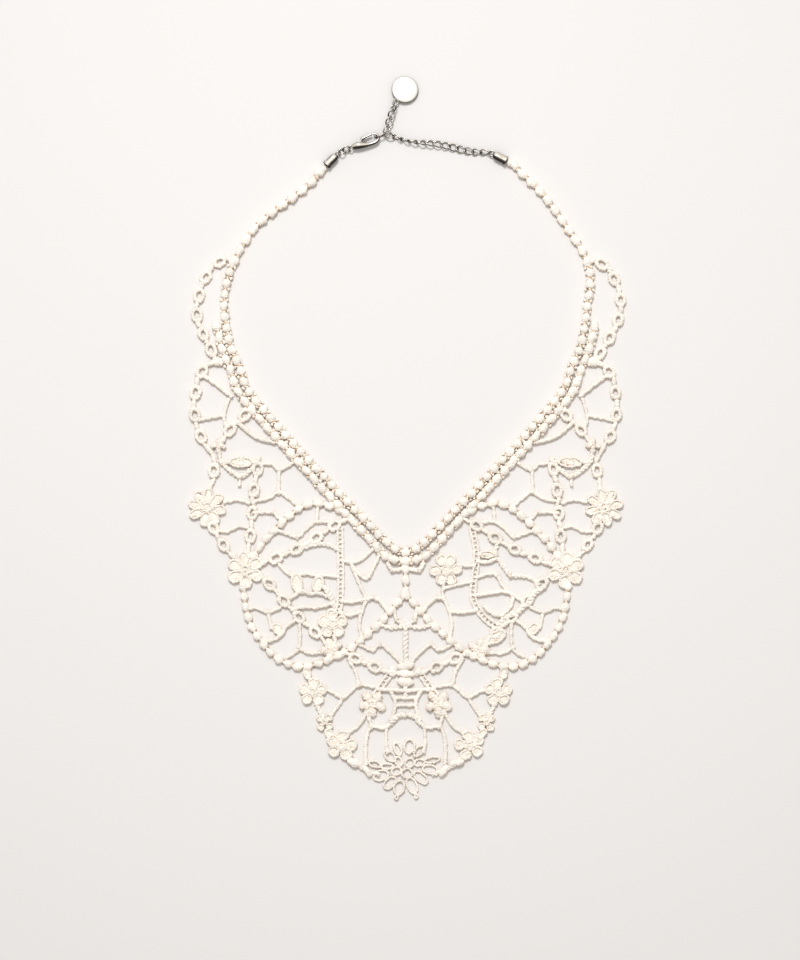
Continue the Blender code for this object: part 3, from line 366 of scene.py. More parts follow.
# Tag disc. Columns: radius, height above its middle plane, mm
TAG_PROFILE = ((0.05, 0.48), (2.5, 0.48), (4.2, 0.47), (4.6, 0.44), (4.86, 0.36), (5.0, 0.22),
               (5.05, 0.08))

# Cut of each panel as a sheet. Columns: panel, flat width and length in metres, area in m2
SHEETS = (
    ("neck_arm_left", (0.010, 0.052), 0.00019),
    ("neck_arm_right", (0.010, 0.050), 0.00018),
    ("side_panel_left", (0.0594, 0.1574), 0.0029),
    ("side_panel_right", (0.0606, 0.1566), 0.0029),
    ("front_panel", (0.0806, 0.1146), 0.0028),
)

# Panels meet along this line: out from the middle line, up the plan
FRONT_SEAM_OUT = (22.4, 23.2, 27.6, 32.0, 44.0)
FRONT_SEAM_UP = (-70.0, -77.0, -83.6, -87.4, -88.2)
ARM_SEAM_UP = 69.0

# Camera: the plan point in the middle of the photograph, its size there, and the height, mm
PHOTO_MIDDLE = (-2.07, -15.6)
PHOTO_HIGH = 361.0
CAMERA_HEIGHT = 1300.0
SENSOR = 36.0
CAMERA_REACH = 20.0

# Floor and light, in metres, watts and degrees
FLOOR_SIZE = 6.0
FLOOR_DROP = 0.0001
FLOOR_COLOUR = (0.915, 0.91, 0.912, 1)
WORLD_COLOUR = (1.0, 0.945, 0.885, 1)
WORLD_STRENGTH = 0.47
LAMP_AIM = (0, -0.02, 0)
# Columns: name, place, size, power, colour, spread
LAMPS = (
    ("key", (-0.15, 0.8, 1.25), (0.35, 0.3), 2.5, (1.0, 0.99, 0.985), 80),
    ("fill", (0.3, -0.3, 1.6), (1.2, 1.0), 1.5, (1, 1, 1), 180),
)

# Colour ramps. Columns: position, colour. The thread's runs from its cream colour into the brown of
# painted shade. The metals' run from painted shade, where the surface faces down and away from the
# light, to a painted highlight band, where it faces up and towards the light
THREAD_AND_SHADE_STOPS = (
    (0.33, (1.0, 0.96, 0.895, 1)),
    (0.55, (0.92, 0.79, 0.65, 1)),
    (0.95, (0.4, 0.26, 0.14, 1)),
)
SILVER_TINT = (1, 0.92, 0.81)
SILVER_SHADE_AND_HIGHLIGHT_STOPS = (
    (0.5, (0.012, 0.008, 0.005, 1)),
    *((position, (*(shade * tint for tint in SILVER_TINT), 1))
      for position, shade in ((0.7, 0.06), (0.8, 0.28), (0.88, 0.95), (0.94, 0.98))),
    (1.0, (0.6, 0.57, 0.52, 1)),
)
TAG_SHADE_AND_HIGHLIGHT_STOPS = (
    (0.35, (0.04, 0.03, 0.02, 1)),
    (0.86, (0.5, 0.46, 0.38, 1)),
    (0.97, (0.84, 0.83, 0.8, 1)),
)
# Columns: name, metallic, colour ramp of painted shade and highlight, shares of upward and up-plan
# facing, which paint the highlight and shade, and of noise, scale and detail of the noise, least
# and most roughness
METALS = (
    ("silver_plate", 0.5, SILVER_SHADE_AND_HIGHLIGHT_STOPS, (0.85, 0.35, 0.12), 700.0, 2.0, (0.18, 0.3)),
    ("bright_silver", 0.3, TAG_SHADE_AND_HIGHLIGHT_STOPS, (1.0, 0.4, 0.0), 600.0, 3.0, (0.28, 0.42)),
)


# Plan curves

def smooth_path(points, spacing):
    """Even points along a Catmull-Rom curve through the given ones, in the plan or in space."""
    knots = [Vector(point) for point in points]
    knots = [2 * knots[0] - knots[1], *knots, 2 * knots[-1] - knots[-2]]
    dense = []
    steps = 16
    for before, start, end, after in zip(knots, knots[1:], knots[2:], knots[3:]):
        for step in range(steps):
            t = step / steps
            dense.append(0.5 * (2 * start + (end - before) * t
                                + (2 * before - 5 * start + 4 * end - after) * t * t
                                + (3 * start - before - 3 * end + after) * t ** 3))
    dense.append(knots[-2])
    reach = [0.0, *accumulate((there - here).length for here, there in zip(dense, dense[1:]))]
    count = max(1, round(reach[-1] / spacing))
    path = []
    index = 0
    for number in range(count + 1):
        want = reach[-1] * number / count
        while index < len(dense) - 2 and reach[index + 1] < want:
            index += 1
        span = reach[index + 1] - reach[index]
        path.append(dense[index].lerp(dense[index + 1], (want - reach[index]) / span))
    return path


def directions(path):
    pairs = zip(path[:1] + path, path[1:] + path[-1:])
    return [(after - before).normalized() for before, after in pairs]


def path_length(path):
    """Length of a path with even steps."""
    return (len(path) - 1) * (path[1] - path[0]).length


def heading(angle):
    return Vector((math.cos(angle), math.sin(angle)))


def sided(points, side):
    return [(side * out, up) for out, up in points]


def sided_turn(turn, side):
    return turn if side > 0 else 180 - turn


def add_object(name, mesh, material):
    mesh.materials.append(material)
    mesh.shade_smooth()
    item = bpy.data.objects.new(name, mesh)
    bpy.context.scene.collection.objects.link(item)
    return item


# Stitched shapes

def lumps(points):
    """How far hand-like unevenness moves each point: a few crossing waves, less near the floor."""
    moved = np.zeros_like(points)
    waves = random.Random(11)
    for axis, reach in LUMPS:
        for _ in range(LUMP_WAVES):
            angle = waves.uniform(0, math.tau)
            pace = math.tau / waves.uniform(*LUMP_LENGTHS)
            phase = waves.uniform(0, math.tau)
            across = points[:, 0] * math.cos(angle) + points[:, 1] * math.sin(angle)
            moved[:, axis] += reach / 2 * np.sin(pace * across + phase)
    moved *= np.clip(points[:, 2:] / LUMP_FULL_HEIGHT, 0, 1)
    return moved


class Stitching:
    """Closed stitched shapes of one piece of the scene, gathered in plan millimetres."""

    def __init__(self):
        self.points = []
        self.painted_shade = []
        self.tone = []
        self.rough = []
        self.faces = []
        self.count = 0

    def skin(self, rings, painted_shade, closed, rough):
        """Covers rings of points; rings that don't close on themselves get two end faces."""
        index = np.arange(rings.shape[0] * rings.shape[1]).reshape(rings.shape[:2]) + self.count
        here = index if closed else index[:-1]
        ahead = np.roll(index, -1, axis=0) if closed else index[1:]
        quads = np.stack([here, np.roll(here, -1, axis=1), np.roll(ahead, -1, axis=1), ahead], -1)
        self.faces += quads.reshape(-1, 4).tolist()
        if not closed:
            self.faces += [index[0][::-1].tolist(), index[-1].tolist()]
        self.points.append(rings.reshape(-1, 3))
        self.painted_shade.append(painted_shade.reshape(-1))
        self.tone.append(np.full(painted_shade.size, chance.random()))
        self.rough.append(np.full(painted_shade.size, rough))
        self.count += painted_shade.size

    def winding(self, path, half_wide, middle, half_high, turns, skew, groove, sides, closed=False,
                shade=0.0, rough=1.0):
        """A cord along plan points, wound with thread so that its section swells and sinks, with
        painted shade in its grooves, on its low sides and on its side away from the light.
        """
        def column(values):
            return np.broadcast_to(values, len(path))[:, None]

        if closed:
            ahead = np.roll(path, -1, axis=0) - np.roll(path, 1, axis=0)
        else:
            ahead = np.gradient(path, axis=0)
        ahead /= np.hypot(ahead[:, 0], ahead[:, 1])[:, None]
        left = np.stack([-ahead[:, 1], ahead[:, 0]], -1)
        share = np.arange(len(path)) / (len(path) if closed else len(path) - 1)
        waves = max(1, round(turns / 3))
        uneven = 1 + UNEVEN * np.sin(math.tau * waves * share + chance.uniform(0, math.tau))
        angle = (np.arange(sides) + 0.5) * math.tau / sides
        start = chance.random() * math.tau
        ridge = 0.5 + 0.5 * np.cos(math.tau * turns * share[:, None] + skew * angle + start)
        swell = 1 - groove * (1 - ridge)
        wide = column(half_wide * uneven) * np.cos(angle) * swell
        high = column(half_high) * np.sin(angle) * swell
        rings = np.empty((*wide.shape, 3))
        rings[..., :2] = path[:, None, :] + left[:, None, :] * wide[..., None]
        rings[..., 2] = np.maximum(column(middle) + high, 0.0)
        # Painted shade: darker in the grooves, on the low sides near the floor, where shade is
        # asked for, and on the side that faces down the plan, away from the light
        low = np.clip(1 - rings[..., 2] / np.max(column(middle) + column(half_high)), 0, 1)
        away = np.clip(-left[:, 1:2] * np.cos(angle), 0, 1)
        painted_shade = (GROOVE_DARK * groove * (1 - ridge) + (LOW_DARK + shade) * low ** 1.4
                + shade * SHADE_DARK + FAR_DARK * away * low ** 0.8)
        self.skin(rings, np.clip(painted_shade, 0, 1), closed, rough)

    def bead(self, centre, along, reach, half, top, turns, skew=1, groove=0.13, rings=16, sides=12,
             shade=0.0, rough=1.0):
        """A ball of thread wound across its own direction, flat where it lies."""
        twist = chance.uniform(-0.3, 0.3)
        size = chance.uniform(0.9, 1.08)
        spread = np.sin(np.linspace(-0.5, 0.5, rings) * math.pi)
        full = np.maximum(1 - np.abs(spread) ** 2.3, 0.0) ** 0.46
        full = np.maximum(full, 0.3)
        turned = np.array([along.x - twist * along.y, along.y + twist * along.x])
        path = np.array(centre)[None, :] + spread[:, None] * reach * turned[None, :]
        middle = MIDDLE_HIGH * top
        self.winding(path, half * size * full, middle, (top - middle) * full, turns, skew,
                     groove, sides, shade=shade, rough=rough)

    def loop(self, centre, along, half_long, half_wide, rim, top, taper=0.0):
        """An oval ring of close stitches round a small hole; taper narrows its inner end."""
        around = math.pi * (half_long + half_wide - rim)
        turns = max(9, round(around * 1.2))
        steps = turns * 4
        angle = np.arange(steps) * math.tau / steps
        swell = 1 + 0.22 * np.cos(angle) ** 2
        out = (half_long - 0.61 * rim) * np.cos(angle)
        side = (half_wide - rim / 2) * np.sin(angle) * (1 + taper * np.cos(angle))
        across = np.array([-along.y, along.x])
        path = (np.array(centre)[None, :] + out[:, None] * np.array(along)[None, :]
                + side[:, None] * across[None, :])
        middle = MIDDLE_HIGH * top
        self.winding(path, rim / 2 * swell, middle, top - middle, turns, 0, 0.2, 10, closed=True)

    def bar(self, points, width, pitch=1.0, lift=0.25):
        """A thin cord of twisted thread."""
        path = smooth_path(points, pitch / 4)
        turns = max(2, round(path_length(path) / pitch))
        self.winding(np.array([tuple(p) for p in path]), width / 2, 0.45 * width + lift,
                     0.5 * width, turns, 1, 0.2, 10)

    def plait(self, points, width):
        """Two cords that wind round each other."""
        pitch = 3.4
        path = smooth_path(points, 0.3)
        length = path_length(path)
        turns = max(1, round(length / pitch))
        share = np.arange(len(path)) / (len(path) - 1)
        base = np.array([tuple(p) for p in path])
        across = np.array([(-a.y, a.x) for a in directions(path)])
        for phase in (0.0, math.pi):
            wave = math.pi * turns * share * 2 + phase
            centre = base + across * (0.24 * width * np.cos(wave))[:, None]
            middle = 0.36 * width + 0.3 + 0.16 * width * np.sin(wave)
            self.winding(centre, 0.27 * width, middle, 0.27 * width, round(length), 1, 0.14, 9)

    def ladder(self, points, width):
        """Two side cords with rungs between them."""
        path = smooth_path(points, 0.85)
        ahead = directions(path)
        reach = width / 2 - 0.5
        for side in (-1, 1):
            cord = [centre + Vector((-a.y, a.x)) * side * reach for centre, a in zip(path, ahead)]
            self.bar(cord[::2] + cord[-1:], 1.1, pitch=0.9)
        for number in range(1, len(path) - 1, 2):
            across = Vector((-ahead[number].y, ahead[number].x)) * reach
            self.bar([path[number] - across, path[number] + across], 0.85, pitch=0.8, lift=0.1)

    def piece(self, name, material):
        points = np.concatenate(self.points)
        points += lumps(points)
        points[:, 0] -= PLAN_MIDDLE[0]
        points[:, 1] -= PLAN_MIDDLE[1]
        mesh = bpy.data.meshes.new(name)
        mesh.from_pydata((points * MM).tolist(), [], self.faces)
        for label, values in (("painted_shade", self.painted_shade), ("tone", self.tone), ("rough", self.rough)):
            layer = mesh.attributes.new(label, "FLOAT", "POINT")
            layer.data.foreach_set("value", np.concatenate(values).astype(np.float32))
        item = add_object(name, mesh, material)
        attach(item, "necklace")
        return item


class Lace:
    """The lace by panel and by kind of stitch."""

    def __init__(self):
        self.parts = {}

    def part(self, kind, spot, arm=False):
        out, up = abs(spot[0]), spot[1]
        hand = "left" if spot[0] < 0 else "right"
        front_edge = np.interp(out, FRONT_SEAM_OUT, FRONT_SEAM_UP)
        if arm and up > ARM_SEAM_UP:
            panel = "neck_arm_" + hand
        elif up < front_edge or (out < FRONT_SEAM_OUT[0] and up < 0):
            panel = "front_panel"
        else:
            panel = "side_panel_" + hand
        return self.parts.setdefault((panel, kind), Stitching())

    def pods(self, kind, points, pitch, half, top, share=0.44, arm=False, picots=False):
        """Smooth satin-stitched pods in a row, with a rough knot in each space between, and picots
        beside that knot where asked for."""
        path = smooth_path(points, pitch)
        step = (path[1] - path[0]).length
        for centre, along in zip(path, directions(path)):
            reach = share * step * chance.uniform(0.93, 1.05)
            self.part(kind, centre, arm).bead(centre, along, reach, half, top, turns=7, rings=28,
                                              sides=18, rough=0.6)
        for here, there in zip(path, path[1:]):
            middle = (here + there) / 2
            along = (there - here).normalized()
            part = self.part(kind, middle, arm)
            # The knot in the notch between two pods, and its picots, carry extra painted shade for
            # the shade that falls there
            part.bead(middle, along, 0.2 * step, 0.66 * half, 0.68 * top, turns=2, skew=3,
                      groove=0.35, rings=12, sides=16, shade=0.45)
            for side in (-1, 1) if picots else ():
                out = side * half * chance.uniform(0.6, 0.85)
                spot = middle + Vector((-along.y, along.x)) * out
                part.bead(spot, along, 0.65, chance.uniform(0.45, 0.65), 0.62 * top, turns=1,
                          groove=0.2, rings=8, sides=10, shade=0.1)

    def links(self, points):
        """Rings on the inner points of a path, with a rough neck before and after each ring."""
        path = [Vector(point) for point in points]
        inner = list(zip(path, directions(path)))[1:-1]
        reach = LACE_LINK_HALF
        for centre, along in inner:
            size = chance.uniform(0.96, 1.04)
            self.part("web", centre).loop(centre, along, reach * size, LACE_LINK_WIDE / 2 * size,
                                          LACE_LINK_RIM, chance.uniform(1.75, 2.0))
        near = [path[0]] + [centre + along * reach for centre, along in inner]
        far = [centre - along * reach for centre, along in inner] + [path[-1]]
        for start, end in zip(near, far):
            middle = (start + end) / 2
            half_long = (end - start).length / 2 + 0.75
            self.part("web", middle).bead(middle, (end - start).normalized(), half_long,
                                          NECK_HALF * 0.95, NECK_TOP,
                                          turns=max(3, round(half_long * 2)), groove=0.2)

    def knot(self, spot, size, top):
        along = heading(chance.uniform(0, math.pi))
        self.part("petals", spot).bead(spot, along, size, 0.92 * size, top, turns=3, skew=2,
                                       groove=0.28, rings=12)

    def bar(self, points, width):
        """A ladder, plait or cord by its width, with a knot at each sharp bend."""
        part = self.part("web", points[len(points) // 2])
        if width > LADDER_WIDE:
            part.ladder(points, width)
        elif width > PLAIT_WIDE:
            part.plait(points, width)
        else:
            part.bar(points, 1.12 * width)
        path = [Vector(point) for point in points]
        for before, here, after in zip(path, path[1:], path[2:]):
            bend = (here - before).angle(after - here)
            if bend > math.radians(KNOT_BEND) and width < LADDER_WIDE:
                self.knot(here, 0.5 * width + 0.35, width + 0.7)

    def petal(self, spot, along, half_long, half_wide, rim, taper=0.15, filled=True):
        """A petal: a stitched ring, round a low filling of rough stitches where it is filled."""
        part = self.part("petals", spot)
        top = chance.uniform(1.8, 2.1) if filled else chance.uniform(1.2, 1.6)
        part.loop(spot, along, half_long, half_wide, rim, top, taper=taper)
        if filled:
            part.bead(spot, along, half_long - 0.5 * rim, half_wide - 0.45 * rim, 1.45,
                      turns=max(3, round(2.2 * half_long)), skew=3, groove=0.24, rings=22, sides=16)

    def flower(self, out, up, radius, petals, turn, knotted):
        """Petals, or round knots in their place, round a stitched ring with knots on it."""
        centre = Vector((out, up))
        half_wide = min(0.4 * radius, 1.04 * math.pi * 0.62 * radius / petals)
        rim = PETAL_RIM * half_wide
        for petal in range(petals):
            angle = math.radians(turn) + petal * math.tau / petals + chance.uniform(-0.08, 0.08)
            along = heading(angle)
            size = chance.uniform(0.94, 1.05)
            spot = centre + along * radius * PETAL_PLACE
            if knotted:
                self.part("petals", spot).bead(spot, along, radius * 0.42 * size,
                                               half_wide * size, 2.3, turns=4, skew=3, groove=0.26,
                                               rings=20, sides=16)
            else:
                self.petal(spot, along, radius * PETAL_HALF * size, half_wide * size, rim)
        self.part("petals", centre).loop(centre, Vector((1, 0)), EYE_HALF * radius,
                                         EYE_HALF * radius, min(1.2, 0.2 * radius), 2.3)
        self.knot(centre, 0.14 * radius + 0.2, 2.0)
        for number in range(EYE_KNOTS):
            angle = math.radians(turn + 36) + number * math.tau / EYE_KNOTS
            self.knot(centre + heading(angle) * 0.27 * radius, 0.13 * radius + 0.15, 2.5)

    def leaf(self, out, up, half_long, half_wide, turn, rim, filled=True):
        self.petal(Vector((out, up)), heading(math.radians(turn)), half_long, half_wide, rim,
                   taper=0.0, filled=filled)

    def bud(self, out, up, half_long, half_wide, turn, top):
        spot = Vector((out, up))
        self.part("web", spot).bead(spot, heading(math.radians(turn)), half_long, half_wide, top,
                                    turns=round(half_long * 2.4), groove=0.12, rings=24, sides=16)


def stitch_lace():
    lace = Lace()
    sides = (
        (-1, ARM_LEFT, INNER_ROW_LEFT, SCALLOP_LEFT, SCROLL_FLOWER_LEFT, SCROLL_LEAVES_LEFT,
         SCROLL_BARS_LEFT),
        (1, ARM_RIGHT, INNER_ROW_RIGHT, SCALLOP_RIGHT, SCROLL_FLOWER_RIGHT, SCROLL_LEAVES_RIGHT,
         SCROLL_BARS_RIGHT),
    )
    for side, arm, row_start, scallop, scroll_flower, scroll_leaves, scroll_bars in sides:
        lace.pods("row", sided(arm, side), ARM_PITCH, ARM_HALF, ARM_TOP, arm=True)
        mouth = Vector(CAPS["left" if side < 0 else "right"][0])
        start = Vector((side * arm[0][0], arm[0][1]))
        along = (mouth - start).normalized()
        middle = (mouth + start) / 2 + along * 0.1
        lace.part("row", start, True).bead(middle, along, (mouth - start).length / 2 - 0.25, 1.3,
                                           ARM_TOP, turns=3, groove=0.15, rings=20, sides=16)
        for row, share in ((row_start + INNER_ROW, 0.39), (OUTER_ROW, 0.46)):
            lace.pods("row", sided(row, side), ROW_PITCH, ROW_HALF, ROW_TOP, share, picots=True)
        lace.links(sided(scallop, side))
        for _, points in BEAD_CORDS:
            lace.pods("web", sided(points, side), CORD_PITCH, CORD_HALF, CORD_TOP, 0.45)
        for _, points in LINK_CORDS:
            lace.links(sided(points, side))
        for width, points in BARS + scroll_bars:
            if side > 0 or any(out for out, _ in points):
                lace.bar(sided(points, side), width)
        for name, out, up, radius, petals, turn in FLOWERS + (scroll_flower,):
            lace.flower(side * out, up, radius, petals, sided_turn(turn, side),
                        name in KNOTTED_FLOWERS)
        for _, out, up, half_long, half_wide, turn in LEAVES + scroll_leaves:
            lace.leaf(side * out, up, half_long, half_wide, sided_turn(turn, side),
                      min(1.15, 0.5 * half_wide))
        for _, out, up, half_long, half_wide, turn, top in BUDS:
            if side > 0 or out:
                lace.bud(side * out, up, half_long, half_wide, sided_turn(turn, side), top)
    for _, x, up, half_long, half_wide, turn in END_PETALS:
        lace.leaf(x, up, half_long, half_wide, turn, 0.9, filled=False)
    return lace


# Metal shapes

def up_vectors(ahead):
    """Level sideways and upward directions square to the given one."""
    sideways = Vector((-ahead.y, ahead.x, 0.0)).normalized()
    return sideways, ahead.cross(sideways)


def turned(direction, roll):
    """The direction square to the given one, at a roll in degrees from level."""
    sideways, upward = up_vectors(direction)
    angle = math.radians(roll)
    return sideways * math.cos(angle) + upward * math.sin(angle)


def ring_points(centre, across, upward, sides):
    """Even points round an oval with the given half axes."""
    angles = [k * math.tau / sides for k in range(sides)]
    return [centre + across * math.cos(angle) + upward * math.sin(angle) for angle in angles]


def wire_loop(start, end, roll_start, roll_end, wide):
    """Rings of points of a closed wire link, twisted between the two rolls."""
    middle = (start + end) / 2
    ahead = (end - start).normalized()
    half_long = (end - start).length / 2
    half_wide = (wide - WIRE) / 2

    def spot(step):
        angle = step * math.tau / WIRE_STEPS
        share = (1 + math.cos(angle)) / 2
        outward = turned(ahead, roll_start + (roll_end - roll_start) * share)
        return middle + ahead * half_long * math.cos(angle) + outward * half_wide * math.sin(angle)

    rings = []
    for step in range(WIRE_STEPS):
        here = spot(step)
        forward = (spot(step + 1) - spot(step - 1)).normalized()
        outward = here - middle
        outward = (outward - forward * outward.dot(forward)).normalized()
        rings.append(ring_points(here, outward * WIRE / 2, forward.cross(outward) * WIRE / 2,
                                 WIRE_SIDES))
    return rings


def swept(path, widths, heights, sides=24):
    """Rings of oval sections along a level path."""
    rings = []
    for centre, ahead, width, height in zip(path, directions(path), widths, heights):
        sideways, upward = up_vectors(ahead)
        rings.append(ring_points(centre, sideways * width / 2, upward * height / 2, sides))
    return rings


class Metal:
    """Closed metal shapes of one piece of the scene, in plan millimetres."""

    def __init__(self):
        self.points = []
        self.faces = []

    def skin(self, rings, closed):
        start = len(self.points)
        sides = len(rings[0])
        for ring in rings:
            self.points += ring
        count = len(rings)
        for number in range(count if closed else count - 1):
            here = start + number * sides
            there = start + (number + 1) % count * sides
            for side in range(sides):
                after = (side + 1) % sides
                self.faces.append([here + side, here + after, there + after, there + side])
        if not closed:
            last = start + (count - 1) * sides
            self.faces.append(list(range(start, start + sides))[::-1])
            self.faces.append(list(range(last, last + sides)))

    def piece(self, name, node, material, body="necklace"):
        middle = Vector((*PLAN_MIDDLE, 0.0))
        mesh = bpy.data.meshes.new(name)
        mesh.from_pydata([(point - middle) * MM for point in self.points], [], self.faces)
        item = add_object(name, mesh, material)
        mesh.set_sharp_from_angle(angle=math.radians(SHARP_EDGE))
        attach(item, body)
        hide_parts(node)


def wire_piece(node, start, end, roll_start, roll_end, wide, material):
    link = Metal()
    link.skin(wire_loop(start, end, roll_start, roll_end, wide), closed=True)
    link.piece("wire_" + node, node, material)


def make_cap(hand, material):
    """An end cap with a rolled rim and its eyelet; returns the eyelet's outermost point."""
    mouth, end, eyelet_roll = CAPS[hand]
    ahead = (Vector(end) - Vector(mouth)).normalized()
    origin = Vector((*mouth, METAL_HEIGHT))
    forward = Vector((*ahead, 0.0))
    path = [origin + forward * CAP_LONG * share for share, _ in CAP_PROFILE]
    widths = [2 * CAP_RADIUS * wide for _, wide in CAP_PROFILE]
    cap = Metal()
    cap.skin(swept(path, widths, widths, CAP_SIDES), closed=False)
    near = origin + forward * (CAP_LONG - 0.05)
    far = near + forward * 2 * EYE_RADIUS
    cap.skin(wire_loop(near, far, eyelet_roll, eyelet_roll, 2 * EYE_RADIUS + WIRE), closed=True)
    cap.piece("fine_cap_" + hand, "cap_" + hand, material)
    return far


def make_run(name, path, last_gap, rolls, heights, material):
    """A run of links through each other along a path, their crossings at the given heights."""
    count = len(rolls)
    length = sum((b - a).length for a, b in zip(path, path[1:]))
    crossings = smooth_path(path, length / count)
    for number, (roll_start, roll_end) in enumerate(rolls):
        start = Vector((*crossings[number], heights[number]))
        end = Vector((*crossings[number + 1], heights[number + 1]))
        ahead = (end - start).normalized()
        start -= ahead * (CROSSING if number == 0 else CROSSING / 2)
        end += ahead * (last_gap if number == count - 1 else CROSSING / 2)
        node = f"{name}_{number + 1:02d}"
        wire_piece(node, start, end, roll_start, roll_end, LINK_WIDE, material)


def run_rolls():
    """The slow twist of the extension chain from the cap to the link that the clasp holds."""
    rolls = [CHAIN_TWIST * (number - FACE_ON_LINK) for number in range(1, CHAIN_LINKS)]
    return [*((roll - 45, roll + 45) for roll in rolls), (rolls[-1] - 45, 0)]


def rest_height(roll_start, roll_end):
    """How far a link of these rolls reaches below its axis."""
    steps = 24
    reach = 0.0
    for step in range(steps):
        angle = step * math.tau / steps
        share = (1 + math.cos(angle)) / 2
        roll = math.radians(roll_start + (roll_end - roll_start) * share)
        reach = max(reach, abs((LINK_WIDE - WIRE) / 2 * math.sin(angle) * math.sin(roll)))
    return reach + WIRE / 2


def make_chain(cap_end, material):
    rolls = run_rolls()
    rests = [rest_height(*pair) for pair in rolls]
    heights = [cap_end.z, *(max(pair) for pair in zip(rests, rests[1:])), LOW_CROSSING]
    path = [cap_end.to_2d(), *(Vector(point) for point in CHAIN_PATH), Vector(JUNCTION)]
    make_run("chain_link", path, CROSSING, rolls, heights, material)
    tail = [Vector(JUNCTION), Vector(TAG_HOLE)]
    make_run("tail_link", tail, 0.0, TAIL_ROLLS, TAIL_HEIGHTS, material)


def on_clasp(eye, ahead, along, across=0.0):
    """A point measured along and across the clasp from its eye."""
    return Vector((eye.x + ahead.x * along - ahead.y * across,
                   eye.y + ahead.y * along + ahead.x * across, CLASP_HEIGHT))


def fine_rows(rows):
    """Rows of the clasp with even ones put between them along a smooth curve."""
    path = smooth_path([Vector(row[:3]) for row in rows], 0.5)
    steps = (math.dist(here[:2], there[:2]) for here, there in zip(rows, rows[1:]))
    reach = [0.0, *accumulate(steps)]
    share = np.linspace(0.0, reach[-1], len(path))
    heights = np.interp(share, reach, [row[3] for row in rows])
    return [(point.x, point.y, point.z, height) for point, height in zip(path, heights)]


def make_clasp(cap_end, material):
    """The two jump rings, the hook with its eye, the lever and the link that the clasp holds."""
    eye = Vector(CLASP_EYE)
    ahead = (Vector(JUNCTION) - eye).normalized()
    forward = (Vector((*CLASP_EYE, METAL_HEIGHT)) - cap_end).normalized()
    start = cap_end - forward * CROSSING
    for number, roll in ((1, -45), (2, 45)):
        end = start + forward * 2 * RING_RADIUS
        wire_piece(f"jump_ring_{number}", start, end, roll, roll, 2 * RING_RADIUS + WIRE, material)
        start = end - forward * CROSSING
    for node, rows in (("clasp_hook", HOOK), ("clasp_lever", LEVER)):
        rows = fine_rows(rows)
        path = [on_clasp(eye, ahead, along, across) for along, across, _, _ in rows]
        piece = Metal()
        piece.skin(swept(path, [row[2] for row in rows], [row[3] for row in rows]), closed=False)
        if node == "clasp_hook":
            end = on_clasp(eye, ahead, CLASP_EYE_END)
            piece.skin(wire_loop(start, end, -45, -45, 2 * EYE_RADIUS + WIRE), closed=True)
        piece.piece("fine_" + node, node, material)
    near = on_clasp(eye, ahead, HELD_LINK_START)
    far = Vector((*JUNCTION, CLASP_HEIGHT))
    wire_piece("held_link", near, far, 90, 90, HELD_LINK_WIDE, material)


def make_tag(material):
    """The round tag with its rounded edge and its eye, tilted down from the link that holds it."""
    turn = Matrix.Rotation(math.radians(TAG_TURN), 3, "Z")
    tilt = turn @ Matrix.Rotation(math.radians(TAG_TILT), 3, "Y")
    hole = Vector((*TAG_HOLE, TAG_HEIGHT))
    tag = Metal()
    profile = TAG_PROFILE + tuple((radius, -height) for radius, height in TAG_PROFILE[::-1])
    across, upward = tilt @ Vector((1, 0, 0)), tilt @ Vector((0, 1, 0))
    rings = [ring_points(hole + tilt @ Vector((TAG_REACH, 0, height)), across * radius,
                         upward * radius, TAG_SIDES) for radius, height in profile]
    tag.skin(rings[::-1], closed=False)
    middle = (TAG_EYE_RADIUS + TAG_HOLE_RADIUS) / 2
    wire = (TAG_EYE_RADIUS - TAG_HOLE_RADIUS) / 2
    rings = []
    for step in range(TAG_EYE_STEPS):
        outward = tilt @ heading(step * math.tau / TAG_EYE_STEPS).to_3d()
        rings.append(ring_points(hole + outward * middle, outward * wire,
                                 tilt @ Vector((0, 0, TAG_EYE_HALF_THICK)), WIRE_SIDES))
    tag.skin(rings, closed=True)
    tag.piece("fine_tag", "tag", material, body="tag")


# Materials

def set_sockets(node, values):
    """Puts values on the sockets of these names, written with _ for a space."""
    for socket, value in values.items():
        node.inputs[socket.replace("_", " ")].default_value = value


def new_material(name, **values):
    material = bpy.data.materials.new(name)
    material.use_nodes = True
    tree = material.node_tree
    shader = tree.nodes["Principled BSDF"]
    set_sockets(shader, values)
    return material, tree, shader


def new_node(tree, kind, **values):
    node = tree.nodes.new("ShaderNode" + kind)
    set_sockets(node, values)
    return node


def attribute_node(tree, name):
    node = new_node(tree, "Attribute")
    node.attribute_name = name
    return node


def math_node(tree, operation, factor=0.5):
    node = new_node(tree, "Math")
    node.operation = operation
    node.inputs[1].default_value = factor
    return node


def ramp_node(tree, stops):
    node = new_node(tree, "ValToRGB")
    elements = node.color_ramp.elements
    elements[0].position, elements[0].color = stops[0]
    elements[1].position, elements[1].color = stops[-1]
    for position, colour in stops[1:-1]:
        elements.new(position).color = colour
    return node


def link_nodes(tree, *rows):
    """Columns: node, its output, the node that this goes to, the input there"""
    for source, output, target, socket in rows:
        tree.links.new(source.outputs[output], target.inputs[socket])


